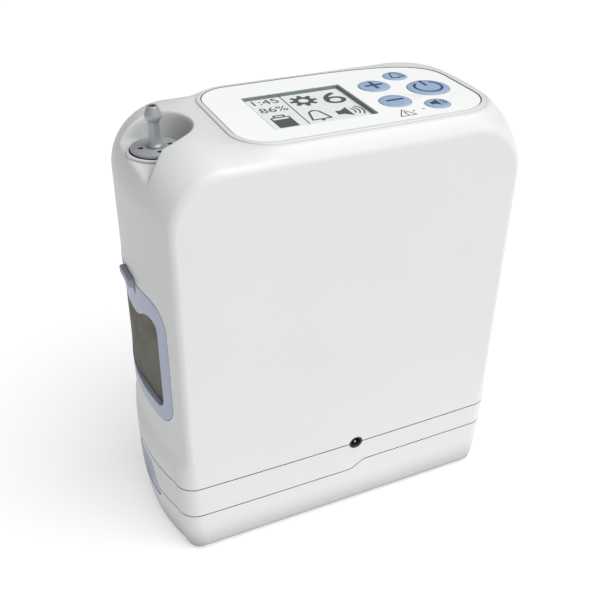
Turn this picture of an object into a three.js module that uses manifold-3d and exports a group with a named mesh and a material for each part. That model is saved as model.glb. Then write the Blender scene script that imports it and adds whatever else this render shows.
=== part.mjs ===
// Portable oxygen concentrator with its battery attached, standing on the battery's feet.
// Frame: millimetres, +Z up, front face towards -Y, +X to the right seen from the front.
// Origin: middle of the footprint, on the plane the feet rest on.
import * as THREE from "three";
import { mergeVertices } from "three/addons/utils/BufferGeometryUtils.js";
import Module from "manifold-3d";

const wasm = await Module();
wasm.setup();

// ---------- driving dimensions ----------
const BASE_HALF_WIDTH = 91.3; // at the seams
const BODY_HALF_WIDTH = 89.4; // upper housing, middle of the side band
const HALF_DEPTH = 42.7; // middle of the crowned front and back faces
const RIM_HALF_DEPTH = 41.5; // edge of those faces
const TOP = 206.6; // crest of the top band
const TOP_CROWN = 7.3; // drop of the top band from its crest to its edge
const CROWN_POWER = 3.5; // how late the top band falls away towards its edge
const SIDE_BAND_RADIUS = 106; // crown of the side band, seen from above
const BASE_CROWN = 5.5; // drop of the base's side, middle to corner
const BASE_CORNER = 9.4; // upright corner radius of base and battery
const TOP_CORNER = 25; // upper corners seen from the front
const FLARE = [48, 62]; // heights between which the body widens into the base
const FOOT = 1; // feet stand proud of the battery by this
const BOTTOM_TUCK = [4, 40]; // width and height of the curve by which base and battery narrow down
const BOTTOM_EDGE = 3.5; // rounding of the battery's long lower edges
const WALL = 2.4;
const SEAM = 0.5; // gap seen between two casings
const GAP = 0.25; // gap round a piece that moves in an opening
const UPPER_SEAM = 41.8; // upper housing to base
const BATTERY_SEAM = { left: 24.3, right: 28.7, from: 2, to: 12 }; // stepped: base to battery

// The panel's right rear corner is one wide sweep from its right edge to its rear edge.
const PANEL = {
  x: [-45.6, 70],
  y: [-32.8, 33],
  leftCorner: 15,
  frontCorner: 17,
  sweepFrom: 6,
  sweepTo: -18,
};
const PANEL_TOP = 205.1;
const PANEL_THICK = 1.8;
const PANEL_LIP = 2.6; // raised ring round the panel
const SCREEN = { x: [-29, 18.5], y: [-22, 17.3] }; // opening in the panel
const KEYS = [
  { name: "button_alarm", x: 47.9, y: 16.6, radius: 5.7 },
  { name: "button_plus", x: 32.3, y: 8.2, radius: 7.3 },
  { name: "button_power", x: 54.2, y: -2.8, radius: 9.8 },
  { name: "button_minus", x: 31.8, y: -12, radius: 7.3 },
  { name: "button_sound", x: 47.3, y: -21.8, radius: 5.7 },
];
const STATUS_LIGHT = { x: 38.5, y: -24.7, radius: 0.9 };

const BOWL = { x: -75, y: -1.5, floor: 194.9, floorRadius: 13, rimRadius: 17.2 };
const NOZZLE = { x: -73.2, y: -1.5, discTop: 197.6, discThick: 1.7, discRadius: 10.2, tip: 214.6 };

const FILTER = { halfWidth: 33.5, bottom: 75, top: 139.5, border: 6.8, thick: 2.4 };
const GRILLE = { halfWidth: 27, bottom: 78, top: 128 };
const LATCH = { halfWidth: 19, bottom: 18.4, top: 41, thick: 3, travel: 2.5 };
const JACK = { x: 5.2, z: UPPER_SEAM, radius: 3.4 };

// ---------- solids from three.js geometry ----------
function solid(geometry) {
  const bare = geometry.index ? geometry.toNonIndexed() : geometry.clone();
  bare.deleteAttribute("normal");
  bare.deleteAttribute("uv");
  const merged = mergeVertices(bare, 1e-4);
  return new wasm.Manifold(
    new wasm.Mesh({
      numProp: 3,
      vertProperties: merged.attributes.position.array,
      triVerts: new Uint32Array(merged.index.array),
    }),
  );
}

function geometryOf(body) {
  const mesh = body.getMesh();
  const geometry = new THREE.BufferGeometry();
  geometry.setAttribute("position", new THREE.BufferAttribute(mesh.vertProperties, 3));
  geometry.setIndex(new THREE.BufferAttribute(mesh.triVerts, 1));
  const faceted = geometry.toNonIndexed();
  faceted.computeVertexNormals();
  return faceted;
}

const joined = (...bodies) => bodies.reduce((whole, body) => whole.add(body));
const cut = (body, ...tools) => tools.reduce((rest, tool) => rest.subtract(tool), body);

function box([x0, x1], [y0, y1], [z0, z1]) {
  const geometry = new THREE.BoxGeometry(x1 - x0, y1 - y0, z1 - z0);
  return solid(geometry.translate((x0 + x1) / 2, (y0 + y1) / 2, (z0 + z1) / 2));
}

// A cylinder along one axis ("x", "y" or "z") between two positions on it.
function rod(axis, radius, from, to, centre, segments = 24) {
  const geometry = new THREE.CylinderGeometry(radius, radius, to - from, segments);
  const middle = (from + to) / 2;
  const [a, b] = centre;
  if (axis === "x") geometry.rotateZ(-Math.PI / 2).translate(middle, a, b);
  if (axis === "y") geometry.translate(a, middle, b);
  if (axis === "z") geometry.rotateX(Math.PI / 2).translate(a, b, middle);
  return solid(geometry);
}

// A drawn outline pushed along the axis square to its plane.
const PLANES = {
  xy: [[1, 0, 0], [0, 1, 0], [0, 0, 1]],
  xz: [[1, 0, 0], [0, 0, 1], [0, -1, 0]],
  yz: [[0, 1, 0], [0, 0, 1], [1, 0, 0]],
};
function prism(shape, plane, from, to, curveSegments = 6) {
  const geometry = new THREE.ExtrudeGeometry(shape, {
    depth: to - from,
    bevelEnabled: false,
    curveSegments,
  });
  const [u, v, w] = PLANES[plane].map((axis) => new THREE.Vector3(...axis));
  geometry.applyMatrix4(new THREE.Matrix4().makeBasis(u, v, w));
  const start = plane === "xz" ? -to : from;
  geometry.translate(w.x * start, w.y * start, w.z * start);
  return solid(geometry);
}

function polygon(points) {
  return new THREE.Shape(points.map(([a, b]) => new THREE.Vector2(a, b)));
}

function roundedRect([a0, a1], [b0, b1], radius) {
  const shape = new THREE.Shape();
  shape.moveTo(a0 + radius, b0);
  shape.lineTo(a1 - radius, b0);
  shape.absarc(a1 - radius, b0 + radius, radius, -Math.PI / 2, 0);
  shape.lineTo(a1, b1 - radius);
  shape.absarc(a1 - radius, b1 - radius, radius, 0, Math.PI / 2);
  shape.lineTo(a0 + radius, b1);
  shape.absarc(a0 + radius, b1 - radius, radius, Math.PI / 2, Math.PI);
  shape.lineTo(a0, b0 + radius);
  shape.absarc(a0 + radius, b0 + radius, radius, Math.PI, 1.5 * Math.PI);
  return shape;
}

// A turned solid: profile points are [radius, height], first and last on the axis.
function turned(profile, segments = 24) {
  const points = profile.map(([radius, height]) => new THREE.Vector2(radius, height));
  return solid(new THREE.LatheGeometry(points, segments).rotateX(Math.PI / 2));
}

// A round cord along a curve through the given points.
function cord(points, radius, steps, sides = 10) {
  const path = new THREE.CatmullRomCurve3(points.map((p) => new THREE.Vector3(...p)));
  const ring = new THREE.Shape().absarc(0, 0, radius, 0, 2 * Math.PI);
  return solid(
    new THREE.ExtrudeGeometry(ring, { steps, extrudePath: path, curveSegments: sides }),
  );
}

// A skin through closed rings that hold the same number of points, closed with end caps.
function loft(rings, capStart, capEnd) {
  const count = rings[0].length;
  const corners = [...rings.flat(), capStart, capEnd];
  const faces = [];
  for (let row = 0; row + 1 < rings.length; row += 1)
    for (let k = 0; k < count; k += 1) {
      const next = (k + 1) % count;
      const [a, b] = [row * count + k, row * count + next];
      const [c, d] = [a + count, b + count];
      faces.push(a, b, d, a, d, c);
    }
  const last = (rings.length - 1) * count;
  for (let k = 0; k < count; k += 1) {
    const next = (k + 1) % count;
    faces.push(rings.length * count, next, k);
    faces.push(rings.length * count + 1, last + k, last + next);
  }
  const geometry = new THREE.BufferGeometry().setFromPoints(corners);
  geometry.setIndex(faces);
  return solid(geometry);
}

// ---------- the outer form ----------
const smooth = THREE.MathUtils.smoothstep;

function bodyHalfWidth(y) {
  return BODY_HALF_WIDTH - SIDE_BAND_RADIUS + Math.sqrt(SIDE_BAND_RADIUS ** 2 - y * y);
}

function baseHalfWidth(y) {
  const straight = RIM_HALF_DEPTH - BASE_CORNER;
  const along = Math.min(Math.abs(y), straight);
  const crowned = BASE_HALF_WIDTH - BASE_CROWN * (along / straight) ** 2;
  const beyond = Math.max(Math.abs(y) - straight, 0);
  return crowned - BASE_CORNER + Math.sqrt(Math.max(BASE_CORNER ** 2 - beyond ** 2, 0));
}

// Half the width of the outer form at a depth and a height.
function halfWidth(y, z) {
  const upper = smooth(z, ...FLARE);
  return baseHalfWidth(y) * (1 - upper) + bodyHalfWidth(y) * upper;
}

// The outline seen from the front, at one depth, starting at the top right and running clockwise.
function frontOutline(y, inset) {
  const across = Math.abs(y) / RIM_HALF_DEPTH;
  const top = TOP - TOP_CROWN * across ** CROWN_POWER - inset;
  const lowEdge = Math.max(Math.abs(y) - RIM_HALF_DEPTH + BOTTOM_EDGE, 0);
  const rise = BOTTOM_EDGE - Math.sqrt(BOTTOM_EDGE ** 2 - lowEdge ** 2);
  const bottom = FOOT + rise + inset;
  const corner = TOP_CORNER - inset;
  const [tuckWide, tuckHigh] = [BOTTOM_TUCK[0] - inset, BOTTOM_TUCK[1] - inset];
  const half = [];
  const cornerSteps = 6;
  const reach = bodyHalfWidth(y) - inset - corner;
  for (let k = 0; k <= cornerSteps; k += 1) {
    const angle = (Math.PI / 2) * (1 - k / cornerSteps);
    half.push([reach + corner * Math.cos(angle), top - corner + corner * Math.sin(angle)]);
  }
  for (const z of [FLARE[1], (FLARE[0] + FLARE[1]) / 2, FLARE[0]])
    half.push([halfWidth(y, z) - inset, z]);
  const tuckSteps = 4;
  const foot = baseHalfWidth(y) - inset - tuckWide;
  for (let k = 0; k <= tuckSteps; k += 1) {
    const angle = (Math.PI / 2) * (k / tuckSteps);
    half.push([
      foot + tuckWide * Math.cos(angle),
      bottom + tuckHigh - tuckHigh * Math.sin(angle),
    ]);
  }
  const mirrored = half.map(([x, z]) => [-x, z]).reverse();
  return [...half, ...mirrored];
}

// The whole outer form as one solid, drawn in by an even inset.
function form(inset = 0) {
  const depths = [0, 14, 26, RIM_HALF_DEPTH - BASE_CORNER, 38.8, RIM_HALF_DEPTH];
  const rows = [...depths.slice(1).reverse().map((y) => -y), ...depths];
  const shrink = (HALF_DEPTH - inset) / HALF_DEPTH;
  const rings = rows.map((y) =>
    frontOutline(y, inset).map(([x, z]) => new THREE.Vector3(x, y * shrink, z)),
  );
  const middle = (end) => new THREE.Vector3(0, end * (HALF_DEPTH - inset), TOP / 2);
  return loft(rings, middle(-1), middle(1));
}

const outer = form();
const cavity = form(WALL);
const FAR = 120; // beyond the form on every side

// The seam between base and battery as a line across the front, raised by a distance.
function batterySeam(raise) {
  const { left, right, from, to } = BATTERY_SEAM;
  const points = [[-FAR, left + raise]];
  const steps = 6;
  for (let k = 0; k <= steps; k += 1) {
    const x = from + ((to - from) * k) / steps;
    points.push([x, left + raise + (right - left) * smooth(x, from, to)]);
  }
  points.push([FAR, right + raise]);
  return points;
}
const below = (line) => prism(polygon([...line, [FAR, -10], [-FAR, -10]]), "xz", -FAR, FAR);
const above = (line) => prism(polygon([...line, [FAR, 230], [-FAR, 230]]), "xz", -FAR, FAR);
const level = (z) => [[-FAR, z], [FAR, z]];

// A skin of the outer form between two depths under its surface.
const skin = (from, to) => cut(form(from), form(to));

// ---------- the assembly ----------
const concentrator = new THREE.Group();
concentrator.name = "oxygen_concentrator";

const FINISH = {
  casing: { color: 0xe8e9e8, roughness: 0.45 },
  panel: { color: 0xf6f8f9, roughness: 0.3 },
  blue: { color: 0xa3b3cf, roughness: 0.45 },
  key: { color: 0x9fb0d2, roughness: 0.5 },
  nozzle: { color: 0x8d939c, roughness: 0.4, metalness: 0.55 },
  mesh: { color: 0x7d786c, roughness: 0.9 },
  dark: { color: 0x1c1d1f, roughness: 0.5 },
  grey: { color: 0x8a8d90, roughness: 0.6 },
  rubber: { color: 0x2a2b2c, roughness: 0.9 },
  metal: { color: 0xb9bcc0, roughness: 0.3, metalness: 0.95 },
  steel: { color: 0x8f9398, roughness: 0.35, metalness: 0.95 },
  brass: { color: 0xb89a55, roughness: 0.35, metalness: 0.9 },
  board: { color: 0x1f5a3a, roughness: 0.55 },
  screen: { color: 0xe6ecec, roughness: 0.15 },
  cell: { color: 0x2f6fa8, roughness: 0.4 },
  silicone: { color: 0xdfe3e2, roughness: 0.5 },
  amber: { color: 0xc9a24a, roughness: 0.3 },
};

function add(name, body, finish, position = [0, 0, 0], parent = concentrator) {
  const material = new THREE.MeshStandardMaterial(FINISH[finish]);
  const mesh = new THREE.Mesh(geometryOf(body), material);
  mesh.name = name;
  mesh.position.set(...position);
  parent.add(mesh);
  return mesh;
}

// ---------- control panel outline ----------
function panelShape(grow) {
  const [left, right] = [PANEL.x[0] - grow, PANEL.x[1] + grow];
  const [front, back] = [PANEL.y[0] - grow, PANEL.y[1] + grow];
  const [leftCorner, frontCorner] = [PANEL.leftCorner + grow, PANEL.frontCorner + grow];
  const shape = new THREE.Shape();
  shape.moveTo(left + leftCorner, front);
  shape.lineTo(right - frontCorner, front);
  shape.absarc(right - frontCorner, front + frontCorner, frontCorner, -Math.PI / 2, 0);
  shape.lineTo(right, PANEL.sweepFrom);
  shape.bezierCurveTo(right + 1.5, back, 37, back, PANEL.sweepTo, back);
  shape.lineTo(left + leftCorner, back);
  shape.absarc(left + leftCorner, back - leftCorner, leftCorner, Math.PI / 2, Math.PI);
  shape.lineTo(left, front + leftCorner);
  shape.absarc(left + leftCorner, front + leftCorner, leftCorner, Math.PI, 1.5 * Math.PI);
  return shape;
}
const PANEL_SEAT = PANEL_TOP - PANEL_THICK;
const LEDGE = 3; // width of the ledge the panel rests on
const BOARD_TOP = 200; // upper face of the key board
const panelPrism = (grow, from, to) => prism(panelShape(grow), "xy", from, to, 8);

// ---------- outlet bowl ----------
// A scoop sunk into the upper left corner: round at its right end, open and wider to the left.
function bowlRing(radius, flare, z) {
  const ring = [];
  const steps = 12;
  for (let k = 0; k <= steps; k += 1) {
    const angle = -Math.PI / 2 + (Math.PI * k) / steps;
    ring.push([BOWL.x + radius * Math.cos(angle), BOWL.y + radius * Math.sin(angle)]);
  }
  ring.push([-100, BOWL.y + radius + flare], [-100, BOWL.y - radius - flare]);
  return ring.map(([x, y]) => new THREE.Vector3(x, y, z));
}

function bowlCutter() {
  const { floor, floorRadius, rimRadius } = BOWL;
  const rings = [
    bowlRing(floorRadius - 0.6, 2, floor),
    bowlRing(floorRadius + 0.6, 5, floor + 1.2),
    bowlRing(rimRadius - 1.2, 9, floor + 6),
    bowlRing(rimRadius + 0.4, 12, TOP + 3),
  ];
  const cap = (z) => new THREE.Vector3(BOWL.x, BOWL.y, z);
  return loft(rings, cap(floor), cap(TOP + 3));
}

// The lip where the bowl's floor runs out over the side, sloping down.
function bowlSpill() {
  const [inner, beyond, fall, halfWide] = [-82, -100, 7, 21];
  const wedge = [
    [inner, BOWL.floor],
    [beyond, BOWL.floor - fall],
    [beyond, BOWL.floor + 2],
    [inner, BOWL.floor + 2],
  ];
  return prism(polygon(wedge), "xz", BOWL.y - halfWide, BOWL.y + halfWide);
}

// ---------- casings ----------
const SCREWS = [[-70, -31], [70, -31], [-70, 31], [70, 31]];
const SCREW = { shoulder: 36, top: 53, bore: 1.6, boss: 4.5 };
const BOARD_POSTS = [[-54, 60], [4, 60], [-54, 166], [4, 166]];
const BOARD_BACK = 34.6; // rear face of the main board

function filterOutline(grow) {
  const { halfWidth, bottom, top } = FILTER;
  return roundedRect([-halfWidth - grow, halfWidth + grow], [bottom - grow, top + grow], 12 + grow);
}

function grilleOutline(grow) {
  const { halfWidth, bottom, top } = GRILLE;
  return roundedRect([-halfWidth - grow, halfWidth + grow], [bottom - grow, top + grow], 8 + grow);
}

function upperHousing() {
  const bossBottom = UPPER_SEAM + SEAM / 2;
  const bowlPan = outer.intersect(box([-FAR, -54], [-27, 24], [187.5, FAR * 2]));
  const cup = rod("z", 9, 180, 190, [NOZZLE.x, NOZZLE.y]);
  const surround = panelPrism(PANEL_LIP, BOARD_TOP + 0.2, PANEL_TOP + 0.2);
  let shell = cut(outer, cavity);
  shell = joined(shell, surround, bowlPan, cup);
  for (const [x, y] of SCREWS) {
    const side = Math.sign(y);
    const boss = rod("z", SCREW.boss, bossBottom, SCREW.top + 5, [x, y], 16);
    const reach = side > 0 ? [y, HALF_DEPTH - 2.9] : [2.9 - HALF_DEPTH, y];
    const rib = box([x - 1.5, x + 1.5], reach, [bossBottom, SCREW.top + 5]);
    shell = joined(shell, boss, rib);
  }
  for (const [x, z] of BOARD_POSTS)
    shell = shell.add(rod("y", 3, BOARD_BACK + 0.1, 40, [x, z], 12));
  const bores = SCREWS.map(([x, y]) => rod("z", SCREW.bore, 0, SCREW.top + 1, [x, y], 12));
  return cut(
    shell,
    below(level(bossBottom)),
    panelPrism(0.25, PANEL_SEAT, TOP + 5),
    panelPrism(-LEDGE, BOARD_TOP - 5, TOP + 5),
    bowlCutter(),
    bowlSpill(),
    rod("z", 6.3, 182, 197, [NOZZLE.x, NOZZLE.y]),
    rod("z", 8.2, 193.9, 197, [NOZZLE.x, NOZZLE.y]),
    rod("z", 1.3, 170, 190, [NOZZLE.x, NOZZLE.y], 12),
    prism(filterOutline(0.3), "yz", -FAR, -70),
    prism(grilleOutline(0.3), "yz", 70, FAR),
    rod("y", JACK.radius + 0.2, -FAR, -30, [JACK.x, JACK.z]),
    ...bores,
  );
}

function baseHousing() {
  const floorTop = batterySeam(SEAM / 2 + 2.2);
  const blockTop = UPPER_SEAM - SEAM / 2;
  const hollow = cavity.intersect(above(floorTop));
  const latchBlock = box([-100, -74], [-23, 23], [20, blockTop]).intersect(outer);
  let shell = joined(cut(outer, hollow), latchBlock);
  for (const [x, y] of SCREWS)
    shell = shell.add(rod("z", SCREW.boss, BATTERY_SEAM.left + 1, blockTop, [x, y], 16));
  const bores = SCREWS.map(([x, y]) => rod("z", SCREW.bore, 0, 60, [x, y], 12));
  const sinks = SCREWS.map(([x, y]) => rod("z", 3.4, 0, SCREW.shoulder, [x, y], 16));
  return cut(
    shell,
    above(level(blockTop)),
    below(batterySeam(SEAM / 2)),
    latchPocket(),
    rod("x", SPRING.bore, -90, SPRING.seat, [0, SPRING.z]),
    rod("y", JACK.radius + 0.2, -FAR, -30, [JACK.x, JACK.z]),
    ...bores,
    ...sinks,
  );
}

// ---------- battery latch ----------
const latchBack = -BASE_HALF_WIDTH + LATCH.thick;
function latchPocket() {
  const { halfWidth: half, bottom, top, travel } = LATCH;
  const outline = roundedRect([-half - 0.3, half + 0.3], [bottom - 0.3, top + 8], 6);
  return prism(outline, "yz", -FAR, latchBack + travel + 0.7);
}

function batteryLatch() {
  const { halfWidth: half, bottom, top } = LATCH;
  const outline = roundedRect([-half, half], [bottom, top], 6);
  const plate = prism(outline, "yz", -FAR, latchBack + 0.4).intersect(form(0.2));
  const thumbDish = solid(new THREE.SphereGeometry(30, 24, 16).translate(-119.4, 0, 29));
  return plate.subtract(thumbDish);
}

// A coil drawn at the length it has when the latch is pressed home.
const SPRING = { turns: 4, pitch: 1.75, radius: 2.9, wire: 0.5, z: 32, bore: 4.2, seat: -77 };
function latchSpring() {
  const { turns, pitch, radius, wire, z } = SPRING;
  const stepsPerTurn = 8;
  const start = latchBack + LATCH.travel + 0.6 + wire;
  const path = [];
  for (let k = 0; k <= turns * stepsPerTurn; k += 1) {
    const angle = (2 * Math.PI * k) / stepsPerTurn;
    const x = start + (pitch * k) / stepsPerTurn;
    path.push([x, radius * Math.cos(angle), z + radius * Math.sin(angle)]);
  }
  return cord(path, wire, turns * 9, 2);
}

// ---------- battery ----------
const CELL = { radius: 9.1, length: 65, pitch: 18.5, count: 8 };
const FEET = [[-74, -33], [70, -33], [-74, 33], [70, 33]];
const LID = { thick: 2, clearance: 0.15 };
const underSeam = -SEAM / 2;

// The solid end of the battery that the latch's pocket is sunk into.
function latchBlock(grow) {
  const [half, right] = [23 + grow, -80 + grow];
  return box([-100, right], [-half, half], [6, BATTERY_SEAM.left + underSeam + grow]);
}

function batteryTray() {
  const inside = cavity.intersect(above(level(FOOT + WALL)));
  const shell = joined(cut(outer, inside), latchBlock(0).intersect(outer));
  const footSinks = FEET.map(([x, y]) => rod("z", 5.2, 0, FOOT + 1, [x, y], 20));
  return cut(shell, above(batterySeam(underSeam)), latchPocket(), ...footSinks);
}

// The lid is a plate let into the tray's mouth, stepped like the seam.
function batteryLid() {
  const mouth = form(WALL + LID.clearance).intersect(below(batterySeam(underSeam)));
  return cut(mouth, below(batterySeam(underSeam - LID.thick)), latchBlock(LID.clearance));
}

function batteryCell() {
  const { radius, length } = CELL;
  const half = length / 2;
  return turned(
    [[0, -half], [radius, -half], [radius, half - 1.4],
      [radius - 0.5, half - 0.9], [3, half - 0.9], [3, half], [0, half]],
    14,
  );
}

// ---------- control panel, screen and keys ----------
function controlPanel() {
  const window = roundedRect(SCREEN.x, SCREEN.y, 0.8);
  const holes = KEYS.map(({ x, y, radius }) =>
    rod("z", radius + GAP, 190, 220, [x, y], 22));
  const lampCentre = [STATUS_LIGHT.x, STATUS_LIGHT.y];
  const lamp = rod("z", STATUS_LIGHT.radius + 0.1, 190, 220, lampCentre, 10);
  const plate = panelPrism(0, PANEL_SEAT, PANEL_TOP);
  return cut(plate, prism(window, "xy", 190, 220, 2), lamp, ...holes);
}

function key(radius) {
  const thick = PANEL_THICK + 0.3;
  const flange = 0.8;
  return turned(
    [[0, -flange - 0.1], [radius + flange, -flange - 0.1], [radius + flange, -0.1], [radius, -0.1],
      [radius, thick - 0.3], [radius - 0.4, thick], [0, thick]],
    22,
  );
}

function keyBoard() {
  const plate = box([-44, 64], [-29, 27], [BOARD_TOP - 1.6, BOARD_TOP]);
  const half = 2.6;
  const switches = KEYS.map(({ x, y }) =>
    box([x - half, x + half], [y - half, y + half], [BOARD_TOP - 0.1, BOARD_TOP + 1.3]));
  const corner = box([60, 70], [16, 30], [190, 210]);
  return cut(joined(plate, ...switches), corner);
}

// ---------- outlet nozzle ----------
function outletNozzle() {
  const { discTop, discThick, discRadius, tip } = NOZZLE;
  const under = discTop - discThick;
  const body = turned([
    [0, 186], [6, 186], [6, under], [discRadius - 0.4, under], [discRadius, under + 0.4],
    [discRadius, discTop - 0.3], [discRadius - 0.3, discTop], [3.3, discTop], [3.2, discTop + 0.9],
    [2.4, discTop + 1.4], [2.3, tip - 6.2], [3, tip - 5.6], [3.5, tip - 4.6], [3.6, tip - 3.9],
    [2.6, tip - 1.2], [2.2, tip], [0, tip],
  ], 20);
  const holeCircle = 6.2;
  const spannerHoles = [[1, 0], [0, 1], [-1, 0], [0, -1]].map(([x, y]) =>
    rod("z", 1.2, discTop - 0.9, discTop + 1, [x * holeCircle, y * holeCircle], 12));
  const bore = rod("z", 1.4, 185, tip + 1, [0, 0], 12);
  const filterSeat = rod("z", 4.7, 185, 192, [0, 0], 20);
  return cut(body, bore, filterSeat, ...spannerHoles);
}

function ring(radius, thickness, z) {
  const band = new THREE.TorusGeometry(radius, thickness, 6, 20).translate(0, 0, z);
  return solid(band);
}

// ---------- intake filter and exhaust grille ----------
function filterFrame() {
  const { halfWidth: half, bottom, top, border, thick } = FILTER;
  const opening = roundedRect([-half + border, half - border], [bottom + border, top - 10], 6);
  const plate = skin(0.1, thick).intersect(prism(filterOutline(0), "yz", -FAR, -70));
  const bridge = polygon([[-20, top - 9], [20, top - 9], [8, top - 15.5], [-8, top - 15.5]]);
  const bar = skin(0.1, thick).intersect(prism(bridge, "yz", -FAR, -70));
  const tab = prism(roundedRect([-8, 8], [top - 4, top - 0.2], 1.2), "yz", -91.8, -88.2);
  return joined(cut(plate, prism(opening, "yz", -FAR, -70)), bar, tab);
}

function filterMesh() {
  const { halfWidth: half, bottom, top, thick } = FILTER;
  const outline = roundedRect([-half + 4, half - 4], [bottom + 4, top - 6], 7);
  return skin(thick + 0.1, thick + 1.1).intersect(prism(outline, "yz", -FAR, -70));
}

function exhaustGrille() {
  const plate = skin(0.1, WALL).intersect(prism(grilleOutline(0), "yz", 70, FAR));
  const slots = [];
  for (let z = GRILLE.bottom + 6; z < GRILLE.top - 5; z += 7)
    slots.push(box([70, FAR], [-21, 21], [z, z + 3.4]));
  return cut(plate, ...slots);
}

// ---------- cooling fan ----------
const FAN = {
  x: [-80.5, -65.5],
  z: 108,
  half: 30,
  throat: 27.5,
  hub: 10,
  hubThick: 3,
  blades: 7,
  blade: [10, 1.2, 17.5],
  twist: 0.9,
  rotor: [-5.5, 5],
  tip: 26.6,
};
function fanFrame() {
  const { x, z, half, throat, hubThick } = FAN;
  const frame = prism(roundedRect([-half, half], [z - half, z + half], 4), "yz", ...x);
  const hub = rod("x", FAN.hub, x[1] - hubThick, x[1], [0, z]);
  const arms = [0, 1, 2].map((turn) => {
    const length = throat + 1;
    const arm = new THREE.BoxGeometry(hubThick, 4, length);
    arm.translate(x[1] - hubThick / 2, 0, length / 2);
    return solid(arm.rotateX((turn * 2 * Math.PI) / 3).translate(0, 0, z));
  });
  return joined(cut(frame, rod("x", throat, -FAR, 0, [0, z], 36)), hub, ...arms);
}

function fanRotor() {
  const hub = rod("x", FAN.hub, ...FAN.rotor, [0, 0], 24);
  const middle = FAN.hub - 1 + FAN.blade[2] / 2;
  const blades = [];
  for (let k = 0; k < FAN.blades; k += 1) {
    const blade = new THREE.BoxGeometry(...FAN.blade).rotateZ(FAN.twist).translate(0, 0, middle);
    blades.push(solid(blade.rotateX((k * 2 * Math.PI) / FAN.blades)));
  }
  return joined(hub, ...blades).intersect(rod("x", FAN.tip, ...FAN.rotor, [0, 0], 36));
}

// ---------- compressor ----------
const SHAFT = { z: 72, radius: 3, bore: 3.4, x: [-66, -4] };
const MOTOR = { radius: 19, x: [-60, -30.1] };
const BLOCK = { x: [-30, 0], y: [-17, 17], z: [51, 94], crankBore: 13, legFoot: 27.1 };
const shaftBore = () => rod("x", SHAFT.bore, -FAR, 0, [0, SHAFT.z], 16);

function compressorMotor() {
  return rod("x", MOTOR.radius, ...MOTOR.x, [0, SHAFT.z], 32).subtract(shaftBore());
}

function compressorBody() {
  const block = box(BLOCK.x, BLOCK.y, BLOCK.z);
  const legs = [-27, -7].map((x) => box([x, x + 5], [-15, 15], [BLOCK.legFoot, BLOCK.z[0] + 1]));
  const crankBore = rod("x", BLOCK.crankBore, BLOCK.x[0] + 4, 5, [0, SHAFT.z], 28);
  return cut(joined(block, ...legs), crankBore, shaftBore());
}

function compressorShaft() {
  const throwOff = 2.5;
  const axle = rod("x", SHAFT.radius, ...SHAFT.x, [0, 0], 16);
  const flywheel = rod("x", 16, SHAFT.x[0] + 1, MOTOR.x[0] - 1.5, [0, 0], 28);
  const eccentric = rod("x", 7, -22, -8, [throwOff, 0], 20);
  return joined(axle, flywheel, eccentric);
}

// A finned cylinder head on its own axis, root at z = 0.
function compressorHead() {
  const core = box([-9, 9], [-9, 9], [0, 19]);
  const fins = [3, 8, 13].map((z) => box([-11, 11], [-11, 11], [z, z + 2.4]));
  return joined(core, ...fins);
}

// ---------- sieve columns, tank and valves ----------
const COLUMNS = [32, 66];
const COLUMN = { radius: 15.5, bottom: 52.1, top: 146 };
function columnBlock(z0, z1) {
  return prism(roundedRect([15, 83], [-17, 17], 6), "xy", z0, z1, 4);
}

const TANK = { x: 47, z: 168.2, half: 31, radius: 12, chamfer: 3 };
function productTank() {
  const { half, radius, chamfer } = TANK;
  const shoulder = [radius, half - chamfer];
  const end = [radius - chamfer, half];
  const upper = [shoulder, end, [0, half]];
  const lower = [...upper].reverse().map(([r, z]) => [r, -z]);
  return turned([...lower, ...upper], 24);
}

function mainBoard() {
  const plate = box([-60, 10], [BOARD_BACK - 1.6, BOARD_BACK], [48, 178]);
  const sink = box([-50, -20], [24, 33.2], [118, 160]);
  const slots = [-46, -40, -34, -28].map((x) => box([x, x + 3], [20, 30], [110, 170]));
  const chips = [[-50, 60], [-30, 75], [-8, 100], [-12, 140], [-44, 96]];
  const chipBoxes = chips.map(([x, z]) => box([x, x + 14], [31, 33.2], [z, z + 12]));
  return joined(plate, cut(sink, ...slots), ...chipBoxes);
}

// ---------- build ----------
add("upper_housing", upperHousing(), "casing");
add("base_housing", baseHousing(), "casing");
add("control_panel", controlPanel(), "panel");
const wider = ([from, to], by) => [from - by, to + by];
const screenPlate = (by, z) => box(wider(SCREEN.x, by), wider(SCREEN.y, by), z);
add("screen_window", screenPlate(1.5, [PANEL_SEAT - 0.8, PANEL_SEAT - 0.05]), "screen");
add("lcd_module", screenPlate(3, [BOARD_TOP + 0.05, PANEL_SEAT - 0.9]), "dark");
for (const { name, x, y, radius } of KEYS) add(name, key(radius), "key", [x, y, PANEL_SEAT]);
const lightPipe = rod("z", STATUS_LIGHT.radius, BOARD_TOP + 0.05, PANEL_TOP, [0, 0], 10);
add("status_light", lightPipe, "amber", [STATUS_LIGHT.x, STATUS_LIGHT.y, 0]);
add("key_board", keyBoard(), "board");

function powerJack() {
  const barrel = rod("y", JACK.radius, -41.9, -31, [JACK.x, JACK.z], 24);
  const mouth = rod("y", 2.5, -FAR, -34, [JACK.x, JACK.z], 20);
  const pin = rod("y", 0.7, -41, -33, [JACK.x, JACK.z], 10);
  return joined(cut(barrel, mouth), pin);
}
add("power_jack", powerJack(), "dark");

add("outlet_nozzle", outletNozzle(), "nozzle", [NOZZLE.x, NOZZLE.y, 0]);
add("nozzle_seal", ring(7.1, 0.8, 195), "rubber", [NOZZLE.x, NOZZLE.y, 0]);
add("outlet_filter", rod("z", 4.4, 188.5, 191.8, [0, 0], 20), "silicone", [NOZZLE.x, NOZZLE.y, 0]);

add("intake_filter_frame", filterFrame(), "blue");
add("intake_filter_mesh", filterMesh(), "mesh");
add("exhaust_grille", exhaustGrille(), "blue");

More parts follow.
